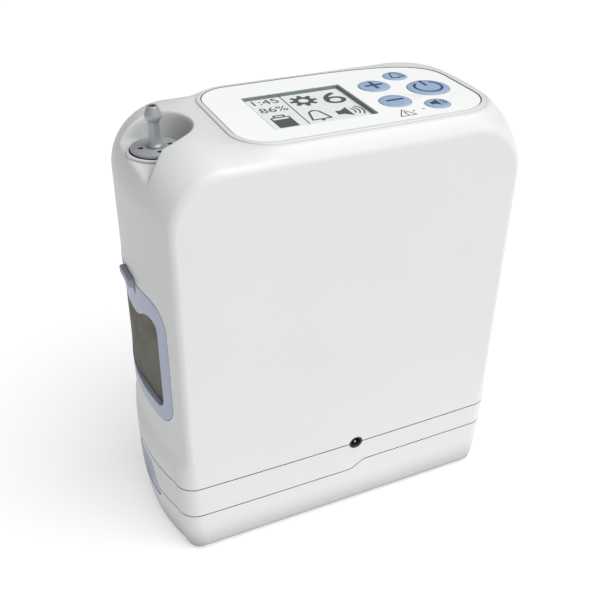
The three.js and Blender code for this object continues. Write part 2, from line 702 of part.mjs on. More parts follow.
add("fan_frame", fanFrame(), "dark");
add("fan_rotor", fanRotor(), "dark", [(FAN.x[0] + FAN.x[1]) / 2 - 1, 0, FAN.z]);

add("compressor_motor", compressorMotor(), "metal");
add("compressor_body", compressorBody(), "metal");
add("compressor_shaft", compressorShaft(), "steel", [0, 0, SHAFT.z]);
const blockMiddle = (BLOCK.x[0] + BLOCK.x[1]) / 2;
add("compressor_head_1", compressorHead(), "metal", [blockMiddle, 0, BLOCK.z[1] + 0.1]);
const sideHead = new THREE.Group();
sideHead.position.set(blockMiddle, BLOCK.y[0] - 0.3, SHAFT.z);
sideHead.rotation.x = Math.PI / 2;
concentrator.add(sideHead);
add("compressor_head_2", compressorHead(), "metal", [0, 0, 0], sideHead);

add("column_base", columnBlock(31.6, 52), "grey");
COLUMNS.forEach((x, k) => {
  const tube = rod("z", COLUMN.radius, COLUMN.bottom, COLUMN.top, [0, 0], 28);
  add(`sieve_column_${k + 1}`, tube, "metal", [x, 0, 0]);
});
add("column_cap", columnBlock(COLUMN.top + 0.1, 156), "grey");
const tankAxis = new THREE.Group();
tankAxis.position.set(TANK.x, 0, TANK.z);
tankAxis.rotation.y = Math.PI / 2;
concentrator.add(tankAxis);
add("product_tank", productTank(), "grey", [0, 0, 0], tankAxis);

const VALVES = { block: { x: [-52, 4], y: [-12, 12], z: [113.3, 128] }, first: -43, pitch: 13 };
const { block } = VALVES;
add("valve_block", box(block.x, block.y, block.z), "brass");
for (let k = 0; k < 4; k += 1) {
  const [foot, head] = [block.z[1] + 0.1, block.z[1] + 18];
  const coil = joined(rod("z", 5.8, foot, head, [0, 0], 20), rod("z", 2, head - 1, head + 4, [0, 0], 12));
  add(`solenoid_valve_${k + 1}`, coil, "dark", [VALVES.first + k * VALVES.pitch, 0, 0]);
}
add("main_board", mainBoard(), "board");

const cupBottom = [NOZZLE.x, NOZZLE.y, 179.6];
const oxygenPath = [cupBottom, [-72, 0, 168], [-48, 2, 163], [-10, 0, 166], [15.6, 0, TANK.z]];
const supplyPath = [[-3, -27, 72], [3, -27, 72], [22, -27, 52], [26, -24, 44], [26, -17.5, 44]];
add("oxygen_tube", cord(oxygenPath, 2.2, 28, 4), "silicone");
add("supply_tube", cord(supplyPath, 2.4, 20, 4), "silicone");

// ---------- battery, latch, feet and screws ----------
add("battery_tray", batteryTray(), "casing");
add("battery_lid", batteryLid(), "casing");
for (let k = 0; k < CELL.count; k += 1) {
  const cell = new THREE.Group();
  const x = (k - (CELL.count - 1) / 2) * CELL.pitch;
  cell.position.set(x, 0, FOOT + WALL + 0.2 + CELL.radius);
  cell.rotation.x = k % 2 ? Math.PI / 2 : -Math.PI / 2;
  concentrator.add(cell);
  add(`battery_cell_${k + 1}`, batteryCell(), "cell", [0, 0, 0], cell);
}
add("battery_board", box([18, 74], [-20, 20], [23, 24.6]), "board");
add("battery_latch", batteryLatch(), "blue");
add("latch_spring", latchSpring(), "steel");
FEET.forEach(([x, y], k) => {
  add(`foot_${k + 1}`, rod("z", 5, 0, FOOT + 0.9, [0, 0], 20), "rubber", [x, y, 0]);
});

function housingScrew() {
  const { shoulder, top } = SCREW;
  const head = rod("z", 3, shoulder - 2.4, shoulder - 0.05, [0, 0], 16);
  const shank = rod("z", 1.4, shoulder - 1, top, [0, 0], 10);
  return cut(joined(head, shank), rod("z", 1.2, 0, shoulder - 1.2, [0, 0], 6));
}
SCREWS.forEach(([x, y], k) => {
  add(`housing_screw_${k + 1}`, housingScrew(), "steel", [x, y, 0]);
});

export default concentrator;
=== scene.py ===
# Looks for a portable oxygen concentrator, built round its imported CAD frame.
# Shapes are worked out in millimetres and turned into metres as each mesh is made.
import math

import bmesh
import bpy
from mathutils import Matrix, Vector

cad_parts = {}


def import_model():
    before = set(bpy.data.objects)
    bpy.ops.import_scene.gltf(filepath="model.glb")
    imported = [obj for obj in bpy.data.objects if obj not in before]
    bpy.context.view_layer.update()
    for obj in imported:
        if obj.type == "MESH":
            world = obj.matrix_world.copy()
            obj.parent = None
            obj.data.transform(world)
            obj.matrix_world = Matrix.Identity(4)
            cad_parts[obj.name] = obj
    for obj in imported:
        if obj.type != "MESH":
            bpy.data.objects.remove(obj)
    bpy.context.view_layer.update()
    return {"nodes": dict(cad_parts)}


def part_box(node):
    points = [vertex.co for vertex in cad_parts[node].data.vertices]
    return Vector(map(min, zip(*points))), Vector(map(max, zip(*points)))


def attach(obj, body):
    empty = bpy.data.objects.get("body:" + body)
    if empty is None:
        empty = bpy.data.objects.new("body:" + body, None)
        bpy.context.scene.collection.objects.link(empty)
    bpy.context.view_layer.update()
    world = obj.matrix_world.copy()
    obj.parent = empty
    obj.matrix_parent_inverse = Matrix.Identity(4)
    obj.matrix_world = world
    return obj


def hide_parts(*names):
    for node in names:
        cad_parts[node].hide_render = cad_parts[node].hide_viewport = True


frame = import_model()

MM = 0.001


def node_box(name):
    """Lowest and highest corner of a CAD node in millimetres."""
    low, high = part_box(name)
    return low / MM, high / MM


# ---------- sizes read from the frame ----------
SHELL_LOW, SHELL_HIGH = node_box("upper_housing")
BASE_LOW, BASE_HIGH = node_box("base_housing")
_, TRAY_HIGH = node_box("battery_tray")
PANEL_LOW, PANEL_HIGH = node_box("control_panel")
DISPLAY_LOW, DISPLAY_HIGH = node_box("screen_window")
NOZZLE_LOW, NOZZLE_HIGH = node_box("outlet_nozzle")
FILTER_LOW, FILTER_HIGH = node_box("intake_filter_frame")
MESH_LOW, MESH_HIGH = node_box("intake_filter_mesh")
GRILLE_LOW, GRILLE_HIGH = node_box("exhaust_grille")
LATCH_LOW, LATCH_HIGH = node_box("battery_latch")
SPRING_LOW, SPRING_HIGH = node_box("latch_spring")
JACK_LOW, JACK_HIGH = node_box("power_jack")

PANEL_TOP = PANEL_HIGH.z
NOZZLE_CENTRE = ((NOZZLE_LOW.x + NOZZLE_HIGH.x) / 2, (NOZZLE_LOW.y + NOZZLE_HIGH.y) / 2)
DISC_RADIUS = (NOZZLE_HIGH.x - NOZZLE_LOW.x) / 2
JACK_CENTRE = ((JACK_LOW.x + JACK_HIGH.x) / 2, (JACK_LOW.z + JACK_HIGH.z) / 2)
JACK_RADIUS = (JACK_HIGH.x - JACK_LOW.x) / 2

# ---------- outer form ----------
BASE_HALF_WIDTH = SHELL_HIGH.x
BODY_HALF_WIDTH = BASE_HALF_WIDTH - 1.9  # the body stands in from the base by this
HALF_DEPTH = SHELL_HIGH.y
CROWN = 1.2  # the front and back faces bulge by this
RIM = HALF_DEPTH - CROWN
TOP = SHELL_HIGH.z
TOP_CROWN = 7.3  # the top falls by this from its middle to the front and back
CROWN_POWER = 3.5
SIDE_BAND_RADIUS = 106
BASE_CROWN = 5.5  # the base's sides bulge by this
BASE_CORNER = 9.4
CREASE = 2.4  # rounding where the band meets the front and back faces
TOP_CORNER = 25
FLARE = (48, 62)  # heights between which the base's outline turns into the body's
FOOT = 1  # the feet lift the battery by this
BOTTOM_TUCK = (4, 40)  # the sides curve in by this, over this height
BOTTOM_EDGE = 3.5  # rounding along the bottom's front and back
WALL = 2.4
UPPER_SEAM = SHELL_LOW.z
SEAM_STEP = (2, 12)  # the battery seam climbs between these
SEAM_RISE = TRAY_HIGH.z - BASE_LOW.z + 0.5
TRAY_MOUTH = TRAY_HIGH.z - SEAM_RISE
BASE_FLOOR = BASE_LOW.z
FAR = 120  # past the object, for cutting tools
FIT_GAP = 0.3  # round a part set into a casing


def smooth(value, low, high):
    t = min(max((value - low) / (high - low), 0), 1)
    return t * t * (3 - 2 * t)


def edge_drop(y, radius):
    """How far an edge of this radius has turned in at a depth y."""
    beyond = max(abs(y) - (RIM - radius), 0)
    return radius - math.sqrt(max(radius**2 - beyond**2, 0))


def body_half_width(y):
    band = BODY_HALF_WIDTH - SIDE_BAND_RADIUS + math.sqrt(SIDE_BAND_RADIUS**2 - y * y)
    return band - edge_drop(y, CREASE)


def base_half_width(y):
    along = min(abs(y) / (RIM - BASE_CORNER), 1)
    return BASE_HALF_WIDTH - BASE_CROWN * along**2 - edge_drop(y, BASE_CORNER)


def tuck(z):
    """How far the lower corners have curved in at a height."""
    wide, high = BOTTOM_TUCK
    below = min(max((FOOT + high - z) / high, 0), 1)
    return wide * (1 - math.sqrt(1 - below**2))


def half_width(y, z):
    upper = smooth(z, *FLARE)
    return base_half_width(y) * (1 - upper) + body_half_width(y) * upper - tuck(z)


def spread(low, high, steps):
    return [low + (high - low) * k / steps for k in range(steps + 1)]


def quarter(steps):
    """Angles from 0 to a quarter turn, without the first."""
    return [math.pi / 2 * k / steps for k in range(1, steps + 1)]


# A profile is the right half of the outline at one depth, from the open end to the flat end.
def upper_profile(y):
    across = abs(y) / RIM
    drop = edge_drop(y, CREASE)
    top = TOP - TOP_CROWN * across**CROWN_POWER - drop
    corner = TOP_CORNER - drop
    reach = body_half_width(y) - corner
    side = [(half_width(y, z), z) for z in spread(UPPER_SEAM, top - corner, 62)]
    arc = [(reach + corner * math.cos(a), top - corner + corner * math.sin(a)) for a in quarter(80)]
    return side + arc


def base_profile(y):
    return [(half_width(y, z), z) for z in spread(BASE_HIGH.z, BASE_FLOOR, 12)]


def tray_profile(y):
    wide, high = BOTTOM_TUCK
    rise = edge_drop(y, BOTTOM_EDGE)
    start = math.asin((FOOT + high - TRAY_MOUTH) / high)
    turn = [start + (math.pi / 2 - start) * k / 30 for k in range(31)]
    foot = base_half_width(y) - wide
    return [
        (foot + wide * math.cos(a), FOOT + high * (1 - math.sin(a)) + rise * math.sin(a) ** 8)
        for a in turn
    ]


def depths(steps, edge_steps):
    """Depths from front to back, closer together where the edges are rounded."""
    inner = RIM - BASE_CORNER
    edge = [RIM - BASE_CORNER * (1 - math.sin(a)) for a in quarter(edge_steps)]
    back = spread(0, inner, steps) + edge
    return [-y for y in reversed(back[1:])] + back


def crown(x, y, z):
    """Depth of a point once the front and back faces are given their slight bulge."""
    across = min(abs(x) / BASE_HALF_WIDTH, 1)
    middle = (TOP + FOOT) / 2
    up = min(abs(z - middle) / middle, 1)
    return y * (1 + CROWN / RIM * (1 - across**2) * (1 - up**4))


def patch(bm, rows):
    """Quads over a grid of points."""
    grid = [[bm.verts.new(Vector(point) * MM) for point in row] for row in rows]
    for low, high in zip(grid, grid[1:]):
        for a, b, c, d in zip(low, low[1:], high[1:], high):
            bm.faces.new((a, b, c, d))


def open_shell(profile, lines, rows, warp):
    """A casing skin whose outline is the profile and its mirror image, joined by a flat end.

    The lines are the places across that end, from -1 on the left to 1 on the right.
    """
    layers = depths(*rows)
    outlines = [profile(y) for y in layers]
    bm = bmesh.new()
    for side in (-1, 1):
        patch(bm, [[(side * x, y, z) for x, z in line] for y, line in zip(layers, outlines)])
    patch(bm, [[(u * line[-1][0], y, line[-1][1]) for u in lines] for y, line in zip(layers, outlines)])
    for side in (-1, 1):
        patch(bm, [[(u * x, side * RIM, z) for u in lines] for x, z in outlines[-1]])
    bmesh.ops.remove_doubles(bm, verts=bm.verts, dist=1e-3 * MM)
    for vert in bm.verts:
        x, y, z = vert.co / MM
        vert.co.y = crown(x, y, z) * MM
        vert.co.z = warp(x, y, z) * MM
    bmesh.ops.recalc_face_normals(bm, faces=bm.faces)
    return bm


# ---------- meshes and pieces ----------
def piece(name, bm, material, body):
    mesh = bpy.data.meshes.new(name)
    bm.to_mesh(mesh)
    bm.free()
    obj = bpy.data.objects.new(name, mesh)
    bpy.context.scene.collection.objects.link(obj)
    if material:
        mesh.materials.append(material)
    shade(obj)
    if body:
        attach(obj, body)
    return obj


def shade(obj, angle=35):
    mesh = obj.data
    mesh.polygons.foreach_set("use_smooth", [True] * len(mesh.polygons))
    mesh.set_sharp_from_angle(angle=math.radians(angle))


def stand_in(obj, node_name=None, angle=35):
    """Shades a finished piece and lets it replace a CAD node."""
    shade(obj, angle)
    if node_name:
        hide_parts(node_name)


def apply_modifiers(obj):
    graph = bpy.context.evaluated_depsgraph_get()
    baked = bpy.data.meshes.new_from_object(obj.evaluated_get(graph))
    obj.modifiers.clear()
    obj.data = baked


def thicken(obj, thickness, rim_material=None):
    modifier = obj.modifiers.new("wall", "SOLIDIFY")
    modifier.thickness = thickness * MM
    modifier.offset = -1
    if rim_material:
        obj.data.materials.append(rim_material)
        modifier.material_offset_rim = 1
    apply_modifiers(obj)


def boolean(obj, cutter, operation="DIFFERENCE"):
    """Cuts a tool object out of obj, or joins it on, then deletes the tool."""
    modifier = obj.modifiers.new("boolean", "BOOLEAN")
    modifier.operation = operation
    modifier.solver = "MANIFOLD"
    modifier.object = cutter
    apply_modifiers(obj)
    bpy.data.objects.remove(cutter)


def bevel(obj, width, segments=3, angle=40):
    modifier = obj.modifiers.new("edges", "BEVEL")
    modifier.width = width * MM
    modifier.segments = segments
    modifier.limit_method = "ANGLE"
    modifier.angle_limit = math.radians(angle)
    modifier.harden_normals = False
    apply_modifiers(obj)


AXES = {
    "x": lambda a, b, t: (t, a, b),
    "y": lambda a, b, t: (a, t, b),
    "z": lambda a, b, t: (a, b, t),
}


def prism(outline, axis, low, high):
    """A drawn outline pushed along an axis between two positions."""
    bm = bmesh.new()
    place = AXES[axis]
    ends = [[bm.verts.new(Vector(place(a, b, t)) * MM) for a, b in outline] for t in (low, high)]
    bm.faces.new(ends[0])
    bm.faces.new(ends[1])
    count = len(outline)
    for k in range(count):
        after = (k + 1) % count
        bm.faces.new((ends[0][k], ends[0][after], ends[1][after], ends[1][k]))
    bmesh.ops.recalc_face_normals(bm, faces=bm.faces)
    return bm


def lathe(profile, centre, axis="z", sides=64):
    """A turned solid: profile points are (radius, position), first and last on the axis."""
    bm = bmesh.new()
    place = AXES[axis]
    rings = []
    for radius, t in profile:
        count = 1 if radius == 0 else sides
        turns = [2 * math.pi * k / sides for k in range(count)]
        points = [(centre[0] + radius * math.cos(a), centre[1] + radius * math.sin(a)) for a in turns]
        rings.append([bm.verts.new(Vector(place(a, b, t)) * MM) for a, b in points])
    for low, high in zip(rings, rings[1:]):
        for k in range(sides):
            after = (k + 1) % sides
            corners = [low[k % len(low)], low[after % len(low)], high[after % len(high)], high[k % len(high)]]
            bm.faces.new(list(dict.fromkeys(corners)))
    bmesh.ops.recalc_face_normals(bm, faces=bm.faces)
    return bm


def tool(bm):
    return piece("tool", bm, None, None)


def rod(radius, low, high, centre, axis="z", sides=64):
    return tool(lathe([(0, low), (radius, low), (radius, high), (0, high)], centre, axis, sides))


def arc(centre, radius, start, end, steps):
    """Points on an arc, angles in degrees."""
    turns = [math.radians(a) for a in spread(start, end, steps)]
    return [(centre[0] + radius * math.cos(a), centre[1] + radius * math.sin(a)) for a in turns]


def rounded(a0, a1, b0, b1, radius, steps=10):
    corners = [((a1, b0), -90), ((a1, b1), 0), ((a0, b1), 90), ((a0, b0), 180)]
    points = []
    for (a, b), start in corners:
        centre = (a - math.copysign(radius, a - a0 - 1e-9), b - math.copysign(radius, b - b0 - 1e-9))
        points += arc(centre, radius, start, start + 90, steps)
    return points


# ---------- materials ----------
def new_material(name, colour, roughness, metallic=0.0):
    material = bpy.data.materials.new(name)
    material.use_nodes = True
    nodes = material.node_tree.nodes
    shader = nodes["Principled BSDF"]
    shader.inputs["Base Color"].default_value = (*colour, 1)
    shader.inputs["Roughness"].default_value = roughness
    shader.inputs["Metallic"].default_value = metallic
    return material


def link(material, source, target):
    material.node_tree.links.new(source, target)


def node(material, kind, **values):
    made = material.node_tree.nodes.new(kind)
    for name, value in values.items():
        if name in made.inputs:
            made.inputs[name].default_value = value
        else:
            setattr(made, name, value)
    return made


def object_noise(material, scale, detail=4.0):
    place = node(material, "ShaderNodeTexCoord")
    noise = node(material, "ShaderNodeTexNoise", Scale=scale, Detail=detail)
    link(material, place.outputs["Object"], noise.inputs["Vector"])
    return noise


def vary_colour(material, colour, amount, scale):
    """Slow patches of slightly different shade, such as a moulding shows."""
    shader = material.node_tree.nodes["Principled BSDF"]
    noise = object_noise(material, scale)
    ramp = node(material, "ShaderNodeValToRGB")
    ramp.color_ramp.elements[0].position = 0.3
    ramp.color_ramp.elements[1].position = 0.7
    ramp.color_ramp.elements[0].color = (*[c * (1 - amount) for c in colour], 1)
    ramp.color_ramp.elements[1].color = (*[min(c * (1 + amount), 1) for c in colour], 1)
    link(material, noise.outputs["Fac"], ramp.inputs["Fac"])
    link(material, ramp.outputs["Color"], shader.inputs["Base Color"])


def vary_roughness(material, low, high, scale):
    shader = material.node_tree.nodes["Principled BSDF"]
    noise = object_noise(material, scale)
    span = node(material, "ShaderNodeMapRange")
    span.inputs["To Min"].default_value = low
    span.inputs["To Max"].default_value = high
    link(material, noise.outputs["Fac"], span.inputs["Value"])
    link(material, span.outputs["Result"], shader.inputs["Roughness"])


def grain(material, scale, depth, edge=0.0):
    """A fine moulded grain; edge rounds the corners that are left sharp in the mesh."""
    shader = material.node_tree.nodes["Principled BSDF"]
    noise = object_noise(material, scale, detail=2.0)
    bump = node(material, "ShaderNodeBump", Strength=0.5, Distance=depth * MM)
    link(material, noise.outputs["Fac"], bump.inputs["Height"])
    if edge:
        rounding = node(material, "ShaderNodeBevel", samples=6, Radius=edge * MM)
        link(material, rounding.outputs["Normal"], bump.inputs["Normal"])
    link(material, bump.outputs["Normal"], shader.inputs["Normal"])


def paint_hollow_shade(material, reach, least):
    """Paints shade into the colour in hollows that are about as deep as the reach."""
    links = material.node_tree.links
    target = material.node_tree.nodes["Principled BSDF"].inputs["Base Color"]
    source = target.links[0].from_socket
    shade_node = node(material, "ShaderNodeAmbientOcclusion", samples=8, Distance=reach * MM)
    span = node(material, "ShaderNodeMapRange")
    span.inputs["From Min"].default_value = 0.25
    span.inputs["From Max"].default_value = 0.95
    span.inputs["To Min"].default_value = least
    mix = node(material, "ShaderNodeMix", data_type="RGBA", blend_type="MULTIPLY")
    mix.inputs["Factor"].default_value = 1
    links.new(shade_node.outputs["AO"], span.inputs["Value"])
    links.new(source, mix.inputs["A"])
    links.new(span.outputs["Result"], mix.inputs["B"])
    links.new(mix.outputs["Result"], target)


def glow(material, strength):
    shader = material.node_tree.nodes["Principled BSDF"]
    shader.inputs["Emission Color"].default_value = (1, 1, 1, 1)
    shader.inputs["Emission Strength"].default_value = strength


def plastic(name, colour, roughness, grain_size=0.35, depth=0.012, edge=0.35, variation=0.012):
    material = new_material(name, colour, roughness)
    vary_colour(material, colour, variation, 14)
    vary_roughness(material, roughness - 0.04, roughness + 0.04, 40)
    grain(material, 1 / (grain_size * MM), depth, edge)
    return material


def metal(name, colour, roughness, depth=0.01, metallic=1.0):
    material = new_material(name, colour, roughness, metallic)
    vary_colour(material, colour, 0.05, 60)
    vary_roughness(material, roughness - 0.06, roughness + 0.06, 300)
    grain(material, 1400, depth, 0.2)
    return material


CASING = plastic("casing_plastic", (0.745, 0.755, 0.755), 0.42)
PANEL = plastic("panel_overlay", (0.93, 0.95, 0.95), 0.28, 0.6, 0.004, 0.2)
KEY = plastic("key_plastic", (0.37, 0.47, 0.64), 0.42, 0.3, 0.006, 0.2, 0.03)
TRIM = plastic("blue_grey_trim", (0.44, 0.49, 0.62), 0.4, 0.3, 0.01, 0.3, 0.03)
# painted shade: a darker copy of the blue-grey trim, for the filter tab that faces down into shade
TRIM_PAINTED_SHADE = plastic("blue_grey_trim_painted_shade", (0.33, 0.37, 0.44), 0.45, 0.3, 0.01, 0.3, 0.03)
# painted light: the white panel glows a little, to read brighter than its lighting makes it
glow(PANEL, 0.09)
# painted shade: the casing's colour darkens in the bowl and other hollows
paint_hollow_shade(CASING, 20, 0.25)
# painted shade: a dark colour for the casing walls' open edges and the panel's gap, so the seams read as deep
# shadowed gaps
SEAM_PAINTED_SHADE = plastic("casing_seam_painted_shade", (0.10, 0.105, 0.11), 0.8, 0.35, 0.01, 0.0, 0.1)
DARK = plastic("dark_plastic", (0.018, 0.018, 0.02), 0.4, 0.3, 0.01, 0.2, 0.1)
GREY = plastic("grey_plastic", (0.25, 0.26, 0.27), 0.5, 0.4, 0.02, 0.2, 0.05)
RUBBER = plastic("foot_rubber", (0.024, 0.025, 0.026), 0.75, 0.25, 0.03, 0.3, 0.1)
SILICONE = plastic("silicone", (0.72, 0.75, 0.74), 0.35, 0.8, 0.01, 0.2, 0.03)
BOARD = plastic("circuit_board", (0.014, 0.10, 0.04), 0.35, 0.9, 0.03, 0.1, 0.2)
CELL_WRAP = plastic("cell_wrap", (0.03, 0.15, 0.39), 0.3, 1.5, 0.01, 0.3, 0.05)
ALLOY = metal("cast_alloy", (0.50, 0.52, 0.54), 0.42, 0.05)
STEEL = metal("steel", (0.42, 0.43, 0.45), 0.3)
BRASS = metal("brass", (0.55, 0.38, 0.13), 0.32)
NOZZLE = metal("anodised_nozzle", (0.43, 0.445, 0.47), 0.4, metallic=0.35)
# painted shade: the nozzle's colour darkens in its holes and hollows
paint_hollow_shade(NOZZLE, 3, 0.25)
DISPLAY = plastic("display", (0.88, 0.92, 0.91), 0.25, 1.0, 0.002, 0.0, 0.01)
# painted shade: a dark colour for the walls of the screen's recess
BEZEL_PAINTED_SHADE = plastic("screen_bezel_painted_shade", (0.20, 0.24, 0.24), 0.5, 0.4, 0.005, 0.0, 0.05)
# printed marks, and also the painted shadow under the filter tab
INK_AND_PAINTED_SHADOW = plastic("display_ink_and_painted_shadow", (0.10, 0.105, 0.11), 0.5, 0.4, 0.002, 0.0, 0.04)
KEY_INK = plastic("key_ink", (0.022, 0.085, 0.20), 0.45, 0.4, 0.002, 0.0, 0.05)
AMBER = plastic("amber_light", (0.55, 0.38, 0.15), 0.3, 0.4, 0.003, 0.0, 0.05)


def woven(name, light, dark, pitch):
    """A screen of crossed wires seen as bands of light and shadow."""
    material = new_material(name, light, 0.8)
    shader = material.node_tree.nodes["Principled BSDF"]
    place = node(material, "ShaderNodeTexCoord")
    bands = []
    for direction in ("Y", "Z"):
        wave = node(material, "ShaderNodeTexWave", wave_type="BANDS", bands_direction=direction)
        wave.inputs["Scale"].default_value = math.pi / (10 * pitch * MM)
        wave.inputs["Distortion"].default_value = 0.3
        wave.inputs["Detail"].default_value = 1
        link(material, place.outputs["Object"], wave.inputs["Vector"])
        bands.append(wave.outputs["Fac"])
    crossed = node(material, "ShaderNodeMath", operation="MAXIMUM")
    link(material, bands[0], crossed.inputs[0])
    link(material, bands[1], crossed.inputs[1])
    patches = object_noise(material, 90)
    shaded = node(material, "ShaderNodeMath", operation="MULTIPLY")
    link(material, crossed.outputs[0], shaded.inputs[0])
    link(material, patches.outputs["Fac"], shaded.inputs[1])
    ramp = node(material, "ShaderNodeValToRGB")
    ramp.color_ramp.elements[0].position = 0.1
    ramp.color_ramp.elements[1].position = 0.6
    ramp.color_ramp.elements[0].color = (*dark, 1)
    ramp.color_ramp.elements[1].color = (*light, 1)
    link(material, shaded.outputs[0], ramp.inputs["Fac"])
    link(material, ramp.outputs["Color"], shader.inputs["Base Color"])
    bump = node(material, "ShaderNodeBump", Strength=0.6, Distance=0.15 * MM)
    link(material, crossed.outputs[0], bump.inputs["Height"])
    link(material, bump.outputs["Normal"], shader.inputs["Normal"])
    return material


SCREEN_CLOTH = woven("filter_weave", (0.23, 0.215, 0.18), (0.10, 0.095, 0.08), 0.9)

# ---------- upper casing ----------
BOWL = {"x": -75, "y": -1.5, "floor": 195.0, "floor_radius": 11.5, "rim_radius": 17.4, "height": 12}
BOWL_WIDENING = (1.15, 0.2)  # how much wider, per millimetre further left, at the front and at the back
BOWL_SPILL = (12.5, 0.0165)  # how far from the nozzle the floor starts to fall, and how fast
BOWL_BLEND = 2.2  # softness of the bowl's rim


def bowl_height(x, y):
    """Height of the scoop: a round basin whose floor runs out and down over the left side."""
    away = math.hypot(max(x - BOWL["x"], 0), y - BOWL["y"])
    widening = BOWL_WIDENING[y > BOWL["y"]] * max(BOWL["x"] - x, 0)
    climb = max(away - BOWL["floor_radius"] - widening, 0) / (BOWL["rim_radius"] - BOWL["floor_radius"])
    flat, fall = BOWL_SPILL
    from_nozzle = math.hypot(x - NOZZLE_CENTRE[0], y - NOZZLE_CENTRE[1])
    spill = fall * max(from_nozzle - flat, 0) ** 2
    return BOWL["floor"] + BOWL["height"] * climb**1.8 - spill


SCOOP_LOWEST, SCOOP_RIGHT = 150, -45  # nothing below or right of these is touched by the bowl
CASING_BELOW_PANEL = 0.3
LOWERED_RING = (3.0, 13.0)  # where the casing comes down to the panel, in distance from its edge
RAISED_RING = (2.6, 8.0)  # where it comes up to the panel


def beyond_panel(x, y):
    """Distance outside a rounded rectangle that stands for the panel's outline."""
    corner = 16
    middle = (PANEL_LOW + PANEL_HIGH) / 2
    half = (PANEL_HIGH - PANEL_LOW) / 2
    over_x = max(abs(x - middle.x) - half.x + corner, 0)
    over_y = max(abs(y - middle.y) - half.y + corner, 0)
    return math.hypot(over_x, over_y) - corner


def scoop(x, y, z):
    """The casing's height, drawn down round the panel and sunk where the bowl is lower."""
    if z < SCOOP_LOWEST:
        return z
    level = PANEL_TOP - CASING_BELOW_PANEL
    ring = LOWERED_RING if z > level else RAISED_RING
    z += (level - z) * (1 - smooth(beyond_panel(x, y), *ring))
    if x > SCOOP_RIGHT:
        return z
    floor = bowl_height(x, y)
    mix = min(max(0.5 + 0.5 * (floor - z) / BOWL_BLEND, 0), 1)
    return floor + (z - floor) * mix - BOWL_BLEND * mix * (1 - mix)


def panel_outline(grow):
    """Round corners at the left and in front; the far right corner is one long curve."""
    left, right = PANEL_LOW.x - grow, PANEL_HIGH.x + grow
    front, back = PANEL_LOW.y - grow, PANEL_HIGH.y + grow
    near, far = 15 + grow, 17 + grow
    points = arc((right - far, front + far), far, -90, 0, 16)
    start, pull_a, pull_b, end = (right, 6), (right + 1.5, back), (37, back), (-18, back)
    for t in spread(0, 1, 40)[1:]:
        weights = ((1 - t) ** 3, 3 * t * (1 - t) ** 2, 3 * t * t * (1 - t), t**3)
        curve = zip(weights, (start, pull_a, pull_b, end))
        points.append(tuple(sum(c) for c in zip(*[(w * a, w * b) for w, (a, b) in curve])))
    points += arc((left + near, back - near), near, 90, 180, 16)
    points += arc((left + near, front + near), near, 180, 270, 16)
    return points


PANEL_LIP = 2.6
PANEL_THICK = 1.8
PANEL_SEAT = PANEL_TOP - PANEL_THICK
PANEL_GAP = 0.5
PANEL_LEDGE = 3  # how far the seat reaches in under the panel
THROUGH_PANEL = (190, 220)  # heights below and above the panel
BOWL_COLUMNS = (-0.84, 26, 90)  # where the finer columns by the bowl end, and how many on each side


def casing(name, skin, body):
    """A wall made inwards from its outer skin; its open edge is painted dark as shade, so that the seam
    shows.
    """
    shell = piece(name, skin, CASING, body)
    thicken(shell, WALL, SEAM_PAINTED_SHADE)
    return shell


def jack_hole():
    return rod(JACK_RADIUS + 0.2, -60, -30, JACK_CENTRE, "y", 40)


def upper_casing():
    above = TOP + 5
    bound, fine, coarse = BOWL_COLUMNS
    lines = spread(-1, bound, fine) + spread(bound, 1, coarse)[1:]
    shell = casing("upper_casing", open_shell(upper_profile, lines, (60, 16), scoop), "housing")
    surround = tool(prism(panel_outline(PANEL_LIP), "z", PANEL_SEAT - 3, PANEL_TOP + 0.2))
    bevel(surround, 0.6, 4)
    boolean(shell, surround, "UNION")
    boolean(shell, tool(prism(panel_outline(PANEL_GAP), "z", PANEL_SEAT, above)))
    boolean(shell, tool(prism(panel_outline(-PANEL_LEDGE), "z", PANEL_SEAT - 8, above)))
    boolean(shell, tool(prism(filter_outline(FIT_GAP), "x", -FAR, -70)))
    boolean(shell, tool(prism(grille_outline(FIT_GAP), "x", 70, FAR)))
    boolean(shell, jack_hole())
    boolean(shell, rod(WELL_RADIUS, 170, 198, NOZZLE_CENTRE))
    stand_in(shell, "upper_housing")


# ---------- lower casings ----------
STEP_FADE = 8


def seam_step(x):
    return SEAM_RISE * smooth(x, *SEAM_STEP)


def base_warp(x, y, z):
    return z + seam_step(x) * (BASE_HIGH.z - z) / (BASE_HIGH.z - BASE_FLOOR)


def tray_warp(x, y, z):
    """The step fades out towards the battery's bottom."""
    return z + seam_step(x) * min(max((z - STEP_FADE) / (TRAY_MOUTH - STEP_FADE), 0), 1)


LATCH_TOP = 38
LATCH_TOP_HALF = 10
LATCH_BACK = LATCH_HIGH.x + 0.4
LATCH_POCKET = LATCH_HIGH.x + 3.2  # leaves room for the latch's travel
SPRING_Z = (SPRING_LOW.z + SPRING_HIGH.z) / 2
SPRING_BORE = (SPRING_HIGH.z - SPRING_LOW.z) / 2 + 0.6


def latch_outline(grow):
    """The latch narrows upwards; its corners are rounded more below than above."""
    low, high = LATCH_LOW.z - grow, LATCH_TOP + grow
    wide, narrow = LATCH_HIGH.y - 1 + grow, LATCH_TOP_HALF + grow
    right = []
    for t in spread(0, 1, 40):
        z = low + (high - low) * t
        half = wide + (narrow - wide) * t
        for radius, away in ((6, z - low), (3, high - z)):
            half -= radius - math.sqrt(radius**2 - max(radius - away, 0) ** 2)
        right.append((half, z))
    return right + [(-y, z) for y, z in reversed(right)]


def latch_pocket():
    return tool(prism(latch_outline(FIT_GAP), "x", -FAR, LATCH_POCKET))


def latch_backing(low, high):
    """The solid wall behind the latch, inside a lower casing."""
    outline = rounded(-BASE_HALF_WIDTH + 3.4, -80, -23, 23, 1)
    return tool(prism(outline, "z", low, high))


def lower_skin(profile, warp):
    return open_shell(profile, spread(-1, 1, 96), (24, 16), warp)


